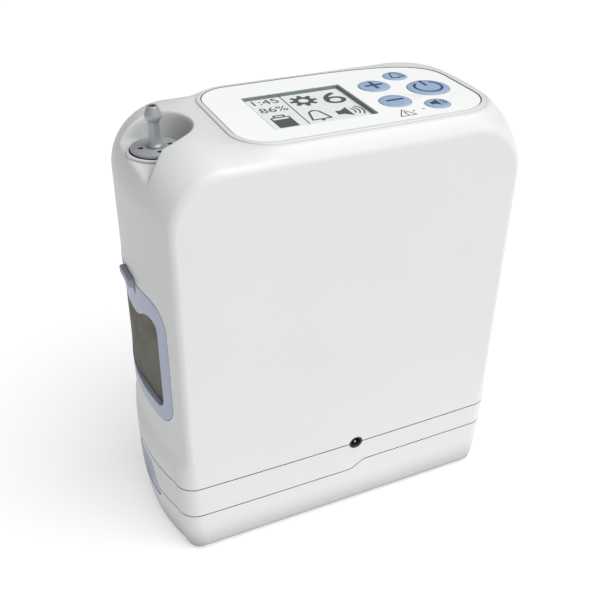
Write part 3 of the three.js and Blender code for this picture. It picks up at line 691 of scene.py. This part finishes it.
def base_casing():
    shell = casing("base_casing", lower_skin(base_profile, base_warp), "housing")
    boolean(shell, latch_backing(BASE_FLOOR + 0.5, BASE_HIGH.z - 0.2), "UNION")
    boolean(shell, latch_pocket())
    boolean(shell, rod(SPRING_BORE, -86, -77, (0, SPRING_Z), "x", 40))
    boolean(shell, jack_hole())
    stand_in(shell, "base_housing")


def battery_casing():
    shell = casing("battery_casing", lower_skin(tray_profile, tray_warp), "battery")
    boolean(shell, latch_backing(LATCH_LOW.z - 3, TRAY_MOUTH - 0.2), "UNION")
    boolean(shell, latch_pocket())
    stand_in(shell, "battery_tray")


# ---------- side parts ----------
def band_x(y, z, inset):
    """The left side of the body at a depth and height, set in by a distance."""
    return -(half_width(y, z) - inset)


def filter_outline(grow):
    low_y, high_y = FILTER_LOW.y - grow, FILTER_HIGH.y + grow
    return rounded(low_y, high_y, FILTER_LOW.z - grow, FILTER_HIGH.z + grow, 12 + grow)


def grille_outline(grow):
    low_y, high_y = GRILLE_LOW.y - grow, GRILLE_HIGH.y + grow
    return rounded(low_y, high_y, GRILLE_LOW.z - grow, GRILLE_HIGH.z + grow, 8 + grow)


def band_sheet(side, outset, thickness, low, high):
    """A thick sheet that follows the body's side over a rectangle of (y, z).

    It stands out by outset, which is a distance or a function of the depth y.
    """
    proud = outset if callable(outset) else lambda y: outset
    bm = bmesh.new()
    ys = spread(low[0], high[0], 48)
    patch(bm, [[(side * -band_x(y, z, -proud(y)), y, z) for y in ys] for z in spread(low[1], high[1], 40)])
    bmesh.ops.recalc_face_normals(bm, faces=bm.faces)
    if (bm.faces[:][0].normal.x > 0) != (side > 0):
        bmesh.ops.reverse_faces(bm, faces=bm.faces)
    sheet = tool(bm)
    thicken(sheet, thickness)
    return sheet


def trimmed_sheet(name, side, outset, thickness, outline, material, body, inner=60):
    """The part of a band sheet inside an outline, cut flat at a distance from the middle."""
    ys = [y for y, _ in outline]
    zs = [z for _, z in outline]
    sheet = band_sheet(side, outset, thickness, (min(ys) - 1, min(zs) - 1), (max(ys) + 1, max(zs) + 1))
    stamp = tool(prism(outline, "x", *sorted((side * inner, side * FAR))))
    boolean(sheet, stamp, "INTERSECT")
    sheet.name = name
    sheet.data.materials.clear()
    sheet.data.materials.append(material)
    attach(sheet, body)
    return sheet


FILTER_BORDER = 6.8
FILTER_BACK_BORDER = 3
FILTER_THICK = 2.6
FILTER_PROUD = 0.15  # the frame stands out of the casing by this
FILTER_TOP_DIP = 5.5


def filter_opening():
    """The window in the filter frame: rounded below, dipping in the middle of its top edge."""
    left, right = FILTER_LOW.y + FILTER_BORDER, FILTER_HIGH.y - FILTER_BACK_BORDER
    bottom, top = FILTER_LOW.z + FILTER_BORDER, FILTER_HIGH.z - 10
    points = arc((right - 6, bottom + 6), 6, -90, 0, 8) + arc((right - 5, top - 5), 5, 0, 90, 8)
    points += [(y, top - FILTER_TOP_DIP * smooth(20 - abs(y), 0, 14)) for y in spread(20, -20, 24)]
    points += arc((left + 5, top - 5), 5, 90, 180, 8) + arc((left + 6, bottom + 6), 6, 180, 270, 8)
    return points


def intake_filter():
    outline = filter_outline(0)
    ring = trimmed_sheet("filter_frame", -1, FILTER_PROUD, FILTER_THICK, outline, TRIM, "intake_filter")
    boolean(ring, tool(prism(filter_opening(), "x", -FAR, -60)))
    bevel(ring, 0.6, 3, 50)
    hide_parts("intake_filter_frame")
    tab_low, tab_high = FILTER_HIGH.z - 2.4, FILTER_HIGH.z + 1.8
    # the tab takes the trim's darker copy: painted shade
    tab = piece("filter_tab", prism(rounded(-8, 8, tab_low, tab_high, 1.4), "x", FILTER_LOW.x, -89),
                TRIM_PAINTED_SHADE, "intake_filter")
    bevel(tab, 0.7, 3)
    for part in (ring, tab):
        stand_in(part)
    # painted shadow: a thin dark triangle below the tab's front end, where the hollow under the tab lies in
    # shade
    tab_shadow = [(-8.8, tab_low + 0.6), (-4.8, tab_low - 0.3), (-7.4, tab_low - 3.4)]
    shadow_mark = trimmed_sheet("filter_tab_painted_shadow", -1, 0.22, 0.2, tab_shadow, INK_AND_PAINTED_SHADOW, "intake_filter")
    outline = rounded(MESH_LOW.y, FILTER_HIGH.y - FILTER_BACK_BORDER + 1, MESH_LOW.z, MESH_HIGH.z, 7)
    cloth = trimmed_sheet("filter_screen", -1, lambda y: 1.8 * smooth(y, -8, 14) - 2.2, 0.8, outline,
                          SCREEN_CLOTH, "intake_filter")
    stand_in(cloth, "intake_filter_mesh")


SLOT_PITCH = 7
SLOT_HEIGHT = 3.4
SLOT_HALF = 21


def exhaust_grille():
    plate = trimmed_sheet("vent_grille", 1, -0.1, WALL, grille_outline(0), TRIM, "housing")
    z = GRILLE_LOW.z + 6
    while z < GRILLE_HIGH.z - 5:
        slot = rounded(-SLOT_HALF, SLOT_HALF, z, z + SLOT_HEIGHT, 1.6)
        boolean(plate, tool(prism(slot, "x", 60, FAR)))
        z += SLOT_PITCH
    bevel(plate, 0.35, 2, 50)
    stand_in(plate, "exhaust_grille")


LATCH_THICK = 3
LATCH_SUNK = 0.2  # the plate lies below the casing by this
DISH_RADIUS = 34
DISH_DEPTH = 2.0  # the thumb's hollow


def latch():
    outline = latch_outline(0)
    plate = trimmed_sheet("latch_plate", -1, -LATCH_SUNK, LATCH_THICK, outline, TRIM, "latch", -LATCH_BACK)
    middle = (LATCH_LOW.z + LATCH_TOP) / 2
    deepest = band_x(0, middle, LATCH_SUNK) + DISH_DEPTH
    dish = [(DISH_RADIUS * math.sin(a), deepest - DISH_RADIUS + DISH_RADIUS * math.cos(a))
            for a in spread(0, math.pi / 2, 24)]
    dish = [(0, dish[-1][1])] + dish[::-1]
    boolean(plate, tool(lathe(dish, (0, middle), "x", 64)))
    bevel(plate, 0.4, 3, 50)
    stand_in(plate, "battery_latch")


# ---------- outlet ----------
DISC_THICK = 1.7
DISC_TOP = 197.6
HOLE_CIRCLE = 6.2  # the spanner holes lie on a circle of this radius
WELL_RADIUS = DISC_RADIUS - 2.2


def nozzle():
    tip = NOZZLE_HIGH.z
    bulb = [(2.3, tip - 6.2), (2.7, tip - 5.9), (3.3, tip - 5.1), (3.58, tip - 4.2), (3.55, tip - 3.4),
            (3.2, tip - 2.3), (2.6, tip - 0.9), (2.35, tip - 0.2), (2.1, tip), (1.35, tip), (1.3, tip - 5),
            (0, tip - 5)]
    stem = [(3.5, DISC_TOP), (3.4, DISC_TOP + 0.7), (2.9, DISC_TOP + 1.3), (2.55, DISC_TOP + 2.4),
            (2.4, DISC_TOP + 4.5)]
    under = DISC_TOP - DISC_THICK
    disc = [(0, NOZZLE_LOW.z), (6, NOZZLE_LOW.z), (6, under), (DISC_RADIUS - 0.4, under),
            (DISC_RADIUS, under + 0.4), (DISC_RADIUS, DISC_TOP - 0.35), (DISC_RADIUS - 0.12, DISC_TOP - 0.1),
            (DISC_RADIUS - 0.4, DISC_TOP)]
    body = piece("barbed_outlet", lathe(disc + stem + bulb, NOZZLE_CENTRE, "z", 72), NOZZLE, "outlet")
    for quarter_turn in range(4):
        angle = quarter_turn * math.pi / 2
        centre = (
            NOZZLE_CENTRE[0] + HOLE_CIRCLE * math.cos(angle),
            NOZZLE_CENTRE[1] + HOLE_CIRCLE * math.sin(angle),
        )
        hole = lathe([(0, DISC_TOP - 3), (1.15, DISC_TOP - 3), (1.2, 199), (0, 199)], centre, "z", 32)
        boolean(body, tool(hole))
    stand_in(body, "outlet_nozzle", 30)


def outlet_collar():
    """The raised ring in the bowl's floor round the outlet's disc."""
    floor = BOWL["floor"]
    rim = [(12.0, -0.8), (12.0, 0.1), (11.9, 0.7), (11.6, 1.1), (11.2, 1.25), (10.9, 1.2), (10.7, 1.0),
           (10.65, 0.1)]
    profile = [(0, floor - 0.8)] + [(radius, floor + rise) for radius, rise in rim] + [(0, floor + 0.1)]
    collar = piece("outlet_collar", lathe(profile, NOZZLE_CENTRE, "z", 72), CASING, "housing")
    boolean(collar, rod(WELL_RADIUS, 190, 198, NOZZLE_CENTRE))
    stand_in(collar, angle=50)


# ---------- jack, feet ----------
def jack():
    face = JACK_LOW.y - 0.4
    profile = [(0, -31), (JACK_RADIUS, -31), (JACK_RADIUS, face + 0.5), (JACK_RADIUS - 0.15, face + 0.15),
               (JACK_RADIUS - 0.5, face), (2.6, face), (2.5, face + 0.2), (2.5, -35), (0, -35)]
    barrel = piece("dc_jack", lathe(profile, JACK_CENTRE, "y", 48), DARK, "housing")
    stand_in(barrel, "power_jack")
    pin_profile = [(0, -35.2), (0.75, -35.2), (0.75, face + 1.0), (0.55, face + 0.7), (0, face + 0.6)]
    pin = piece("dc_jack_pin", lathe(pin_profile, JACK_CENTRE, "y", 32), STEEL, "housing")


def feet():
    for k in range(1, 5):
        low, high = node_box(f"foot_{k}")
        centre = ((low.x + high.x) / 2, (low.y + high.y) / 2)
        radius = (high.x - low.x) / 2
        profile = [(0, 0), (radius - 0.8, 0), (radius - 0.25, 0.2), (radius, 0.7), (radius, high.z),
                   (0, high.z)]
        foot = piece(f"rubber_foot_{k}", lathe(profile, centre), RUBBER, "battery")
        stand_in(foot, f"foot_{k}")


# ---------- panel, screen and keys ----------
KEYS = ("alarm", "plus", "power", "minus", "sound")
KEY_GAP = 0.25
DISPLAY_UNDER = 1.5
KEY_FLANGE = 0.8  # the part of a key's rim that stays under the panel


def key_place(name):
    """Centre, visible radius and top of a key."""
    low, high = node_box(f"button_{name}")
    return ((low.x + high.x) / 2, (low.y + high.y) / 2), (high.x - low.x) / 2 - KEY_FLANGE, high.z


def screen_box(grow=0.0):
    """The screen's opening in the panel: the display plate reaches under its edges."""
    under = DISPLAY_UNDER - grow
    return DISPLAY_LOW.x + under, DISPLAY_HIGH.x - under, DISPLAY_LOW.y + under, DISPLAY_HIGH.y - under


def control_panel():
    plate = piece("panel_plate", prism(panel_outline(0), "z", PANEL_SEAT, PANEL_TOP), PANEL, "housing")
    boolean(plate, tool(prism(rounded(*screen_box(), 0.8), "z", *THROUGH_PANEL)))
    for name in KEYS:
        centre, radius, _ = key_place(name)
        boolean(plate, rod(radius + KEY_GAP, *THROUGH_PANEL, centre))
    bevel(plate, 0.22, 2, 60)
    stand_in(plate, "control_panel", 20)


def panel_gap_painted_shade():
    """A dark fill low in the gap between panel and casing: painted shade for the deep gap."""
    ring = prism(panel_outline(PANEL_GAP - 0.02), "z", PANEL_SEAT + 0.05, PANEL_TOP - 0.2)
    gap_shade = piece("panel_gap_painted_shade", ring, SEAM_PAINTED_SHADE, "housing")
    boolean(gap_shade, tool(prism(panel_outline(0.02), "z", *THROUGH_PANEL)))


def screen_bezel_painted_shade():
    """Lining of the panel's opening over the display, coloured dark as painted shade on its walls."""
    block = prism(rounded(*screen_box(-0.02), 0.8), "z", DISPLAY_HIGH.z, PANEL_TOP - 0.35)
    liner = piece("screen_bezel_painted_shade", block, BEZEL_PAINTED_SHADE, "housing")
    boolean(liner, tool(prism(rounded(*screen_box(-0.5), 0.5), "z", *THROUGH_PANEL)))
    stand_in(liner, angle=30)


INK_STEP = 0.006  # strokes that cross lie one above another by this
INK_THICK = 0.05
FIGURE_HEIGHT = 0.7  # a numeral's height as a share of its font's size


def ink(name, outlines, z, material, body):
    """Flat printed shapes: filled outlines with a hair of thickness; inner outlines are holes."""
    curve = bpy.data.curves.new(name, "CURVE")
    curve.dimensions = "2D"
    curve.fill_mode = "BOTH"
    curve.extrude = INK_THICK / 2 * MM
    for outline in outlines:
        spline = curve.splines.new("POLY")
        spline.points.add(len(outline) - 1)
        for point, (x, y) in zip(spline.points, outline):
            point.co = (x * MM, y * MM, 0, 1)
        spline.use_cyclic_u = True
    source = bpy.data.objects.new(name + "_curve", curve)
    source.location.z = (z + INK_THICK / 2) * MM
    return settle(source, name, material, body)


def settle(source, name, material, body):
    """Turns a curve or text object into a mesh piece of its own."""
    bpy.context.scene.collection.objects.link(source)
    bpy.context.view_layer.update()
    graph = bpy.context.evaluated_depsgraph_get()
    mesh = bpy.data.meshes.new_from_object(source.evaluated_get(graph))
    mesh.transform(source.matrix_world)
    bpy.data.objects.remove(source)
    mesh.materials.clear()
    mesh.materials.append(material)
    obj = bpy.data.objects.new(name, mesh)
    bpy.context.scene.collection.objects.link(obj)
    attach(obj, body)
    return obj


def figures(name, words, left, base, width, height, z):
    """Numerals on the display, stretched to a box."""
    text = bpy.data.curves.new(name, "FONT")
    text.body = words
    text.extrude = INK_THICK / 2 * MM
    text.size = height * MM / FIGURE_HEIGHT
    source = bpy.data.objects.new(name + "_text", text)
    bpy.context.scene.collection.objects.link(source)
    bpy.context.view_layer.update()
    low, high = Vector(source.bound_box[0]), Vector(source.bound_box[6])
    bpy.context.scene.collection.objects.unlink(source)
    stretch = (width * MM / (high.x - low.x), height * MM / (high.y - low.y))
    source.scale = (*stretch, 1)
    place = (left * MM - low.x * stretch[0], base * MM - low.y * stretch[1])
    source.location = (*place, (z + INK_THICK / 2) * MM)
    settle(source, name, INK_AND_PAINTED_SHADOW, "housing")


def bar(a, b, width):
    """A straight stroke between two points."""
    along = (Vector(b) - Vector(a)).normalized()
    side = Vector((-along.y, along.x)) * width / 2
    return [tuple(Vector(p) + s * side) for p, s in ((a, 1), (a, -1), (b, -1), (b, 1))]


def stroke(points, width):
    """A closed outline round an open line of points."""
    left, right = [], []
    for k, point in enumerate(points):
        before = Vector(points[max(k - 1, 0)])
        after = Vector(points[min(k + 1, len(points) - 1)])
        along = (after - before).normalized()
        side = Vector((-along.y, along.x)) * width / 2
        left.append(tuple(Vector(point) + side))
        right.append(tuple(Vector(point) - side))
    return left + right[::-1]


def gear(centre, radius, teeth, root, hole):
    points = []
    for k in range(teeth):
        middle = 90 + 360 * k / teeth
        for reach, offset in ((root, -14), (radius, -8.5), (radius, 8.5), (root, 14)):
            angle = math.radians(middle + offset)
            points.append((centre[0] + reach * math.cos(angle), centre[1] + reach * math.sin(angle)))
    return [points, arc(centre, hole, 0, 350, 35)]


def bell(centre, width, height, line):
    """An outlined bell: domed top, flaring sides, a flat rim and a small clapper."""
    x, y = centre
    half = width / 2
    shoulder = half * 0.6
    dome = arc((x, y + height * 0.22), shoulder, 160, 20, 14)
    outline = [(x - half, y - height * 0.38)] + dome + [(x + half, y - height * 0.38)]
    rim = bar((x - half - line * 0.4, y - height * 0.38), (x + half + line * 0.4, y - height * 0.38), line)
    knob = bar((x, y + height * 0.42), (x, y + height * 0.5), line * 1.4)
    clapper = bar((x, y - height * 0.44), (x, y - height * 0.54), line * 1.6)
    return [stroke(outline, line), rim, knob, clapper]


def six(centre, wide, high, line):
    """A heavy numeral: a ring below and a stem that curls up from its left side."""
    x, y = centre
    outer = [(x + wide * a, y + high * b) for a, b in arc((0, 0), 1, 0, 350, 35)]
    inner = [(x + (wide - line) * a, y + (high - line * 0.8) * b) for a, b in arc((0, 0), 1, 0, 350, 35)]
    reach_x, reach_y = 1.9 * wide - line / 2, 1.95 * high
    curl = arc((0, 0), 1, 180, 104, 12)
    stem = [(x + 0.9 * wide + reach_x * a, y + 0.1 * high + reach_y * b) for a, b in curl]
    return [[outer, inner], [stroke(stem, line)]]


def speaker(centre, size):
    x, y = centre
    horn = [(x - size, y - size * 0.42), (x - size * 0.45, y - size * 0.42), (x + size * 0.25, y - size),
            (x + size * 0.25, y + size), (x - size * 0.45, y + size * 0.42), (x - size, y + size * 0.42)]
    return [horn]


def waves(centre, radii, line, spread_angle):
    return [stroke(arc(centre, radius, -spread_angle, spread_angle, 12), line) for radius in radii]


def display_content():
    z = DISPLAY_HIGH.z + 0.01

    def show(name, outlines, k=0):
        ink(name, outlines, z + k * INK_STEP, INK_AND_PAINTED_SHADOW, "housing")

    figures("readout_time", "1:45", -24.9, 10.4, 12.0, 5.4, z)
    figures("readout_charge", "86%", -25.3, 0.8, 12.6, 5.4, z)
    for k, part in enumerate(six((11.0, 4.0), 4.9, 4.1, 2.2)):
        show(f"readout_setting_{k + 1}", part, k)
    show("display_divider", [bar((-10.6, 17.0), (-11.4, -17.3), 0.5)])
    show("battery_icon_case", [rounded(-24.6, -15.8, -17.0, -5.6, 0.4),
                               rounded(-23.8, -16.6, -8.2, -6.4, 0.3)])
    show("battery_icon_handle", [rounded(-22.9, -17.3, -5.4, -3.3, 0.8),
                                 rounded(-21.9, -18.3, -5.3, -4.2, 0.3)])
    show("setting_icon", gear((-2.7, 8.2), 6.4, 8, 4.5, 2.3))
    for k, part in enumerate(bell((-4.2, -9.6), 8.6, 12, 0.95)):
        show(f"bell_icon_{k + 1}", [part], k)
    show("speaker_icon", speaker((9.2, -10.7), 4.9))
    for k, part in enumerate(waves((8.6, -10.7), (4.2, 6.1, 8.0), 0.7, 38)):
        show(f"speaker_wave_{k + 1}", [part])


def key_cap(name):
    centre, radius, top = key_place(name)
    seat = PANEL_SEAT - 0.1
    skirt = radius + KEY_FLANGE
    profile = [(0, seat - 0.8), (skirt, seat - 0.8), (skirt, seat), (radius, seat), (radius, top - 0.45),
               (radius - 0.12, top - 0.15), (radius - 0.4, top), (radius * 0.6, top - 0.03), (0, top - 0.05)]
    cap = piece(f"key_{name}", lathe(profile, centre, "z", 72), KEY, f"{name}_key")
    stand_in(cap, f"button_{name}", 50)
    for k, part in enumerate(KEY_SIGNS[name](*centre)):
        ink(f"key_{name}_sign_{k + 1}", [part], top - 0.04 + k * INK_STEP, KEY_INK, f"{name}_key")


def power_sign(x, y):
    middle = (x + 0.4, y + 0.6)
    ring = stroke(arc(middle, 6.3, 122, 418, 48), 1.25)
    return [ring, bar((x + 0.4, y + 2.0), (x + 0.4, y + 9.0), 1.4)]


def plus_sign(x, y):
    cross = [(0.8, 4.6), (0.8, 0.8), (4.4, 0.8), (4.4, -0.8), (0.8, -0.8), (0.8, -4.6)]
    whole = cross + [(-a, b) for a, b in reversed(cross)]
    return [[(x + 0.4 + a, y + 0.9 + b) for a, b in whole]]


def minus_sign(x, y):
    return [bar((x - 3.9, y + 0.9), (x + 4.7, y + 0.9), 1.6)]


def alarm_sign(x, y):
    return bell((x + 0.6, y + 0.4), 6.4, 7.2, 0.7)


def sound_sign(x, y):
    return speaker((x + 0.2, y + 0.8), 3.3) + waves((x - 0.4, y + 0.8), (3.4, 4.7), 0.6, 34)


KEY_SIGNS = {"power": power_sign, "plus": plus_sign, "minus": minus_sign, "alarm": alarm_sign,
             "sound": sound_sign}


def alert_sign():
    """An outlined warning triangle with its mark, and a small lamp beside it."""
    z = PANEL_TOP
    corners = [(25.0, -29.2), (28.9, -22.4), (32.6, -29.2)]
    edges = [bar(a, b, 0.5) for a, b in zip(corners, corners[1:] + corners[:1])]
    marks = edges + [bar((28.9, -27.4), (28.9, -24.6), 0.7), bar((28.9, -28.6), (28.9, -28.0), 0.7)]
    for k, part in enumerate(marks):
        ink(f"alert_sign_{k + 1}", [part], z + k * INK_STEP, INK_AND_PAINTED_SHADOW, "housing")
    ink("alert_dot", [arc((33.2, -25.3), 0.6, 0, 345, 23)], z, INK_AND_PAINTED_SHADOW, "housing")


def status_lamp():
    low, high = node_box("status_light")
    centre = ((low.x + high.x) / 2, (low.y + high.y) / 2)
    radius = (high.x - low.x) / 2
    profile = [(0, low.z), (radius, low.z), (radius, high.z - 0.1), (radius * 0.7, high.z + 0.08),
               (0, high.z + 0.15)]
    lamp = piece("status_lamp", lathe(profile, centre, "z", 32), AMBER, "housing")
    stand_in(lamp, "status_light", 60)


# ---------- materials of the CAD pieces that stay ----------
KEPT = {
    DISPLAY: ["screen_window"],
    DARK: ["lcd_module", "fan_frame", "fan_rotor"] + [f"solenoid_valve_{k}" for k in range(1, 5)],
    BOARD: ["key_board", "main_board", "battery_board"],
    RUBBER: ["nozzle_seal"],
    SILICONE: ["outlet_filter", "oxygen_tube", "supply_tube"],
    ALLOY: ["compressor_motor", "compressor_body", "compressor_head_1", "compressor_head_2",
            "sieve_column_1", "sieve_column_2"],
    STEEL: ["compressor_shaft", "latch_spring"] + [f"housing_screw_{k}" for k in range(1, 5)],
    GREY: ["column_base", "column_cap", "product_tank"],
    BRASS: ["valve_block"],
    CASING: ["battery_lid"],
    CELL_WRAP: [f"battery_cell_{k}" for k in range(1, 9)],
}


def dress_kept_nodes():
    for material, names in KEPT.items():
        for name in names:
            obj = frame["nodes"][name]
            for place in obj.material_slots:
                place.material = material
            if not obj.material_slots:
                obj.data.materials.append(material)


# ---------- floor, light and camera ----------
FLOOR_REACH = 4000
CAMERA_PLACE = (-156.77, -322.14, 336.95)
CAMERA_LENS = 51.65
CAMERA_YAW, CAMERA_PITCH, CAMERA_ROLL = 24.948, 33.172, 0.764  # degrees


def floor():
    bm = bmesh.new()
    edge = (-FLOOR_REACH, FLOOR_REACH)
    patch(bm, [[(x, y, 0) for x in edge] for y in edge])
    white = new_material("floor_white", (0.5, 0.5, 0.5), 0.7)
    glow(white, 0.56)
    vary_roughness(white, 0.65, 0.75, 3)
    ground = piece("floor", bm, white, None)


def soft_sun(name, towards, strength, spread_degrees):
    """Even light from a wide part of the room, in the direction given."""
    data = bpy.data.lights.new(name, "SUN")
    data.energy = strength
    data.angle = math.radians(spread_degrees)
    lamp = bpy.data.objects.new(name, data)
    lamp.rotation_euler = Vector(towards).to_track_quat("Z", "Y").to_euler()
    bpy.context.scene.collection.objects.link(lamp)


def world(strength):
    made = bpy.data.worlds.new("studio")
    made.use_nodes = True
    made.node_tree.nodes["Background"].inputs["Color"].default_value = (1, 1, 1, 1)
    made.node_tree.nodes["Background"].inputs["Strength"].default_value = strength
    bpy.context.scene.world = made


def camera():
    """Looks down on the front from its left."""
    data = bpy.data.cameras.new("camera")
    data.lens = CAMERA_LENS
    made = bpy.data.objects.new("camera", data)
    made.location = Vector(CAMERA_PLACE) * MM
    yaw, pitch, roll = (math.radians(a) for a in (CAMERA_YAW, CAMERA_PITCH, CAMERA_ROLL))
    ahead = Vector((math.sin(yaw) * math.cos(pitch), math.cos(yaw) * math.cos(pitch), -math.sin(pitch)))
    right = Vector((math.cos(yaw), -math.sin(yaw), 0))
    above = right.cross(ahead)
    right, above = (
        right * math.cos(roll) + above * math.sin(roll),
        above * math.cos(roll) - right * math.sin(roll),
    )
    turn = made.matrix_world.to_3x3()
    turn.col[0], turn.col[1], turn.col[2] = right, above, -ahead
    made.rotation_euler = turn.to_euler()
    bpy.context.scene.collection.objects.link(made)
    bpy.context.scene.camera = made


# ---------- build ----------
upper_casing()
base_casing()
battery_casing()
intake_filter()
exhaust_grille()
latch()
nozzle()
outlet_collar()
jack()
feet()
control_panel()
panel_gap_painted_shade()
screen_bezel_painted_shade()
display_content()
for key_name in KEYS:
    key_cap(key_name)
alert_sign()
status_lamp()
dress_kept_nodes()
floor()
world(0.15)
soft_sun("key_light", (0.29, -0.37, 0.80), 3.2, 55)
camera()
bpy.context.scene.view_settings.view_transform = "Standard"
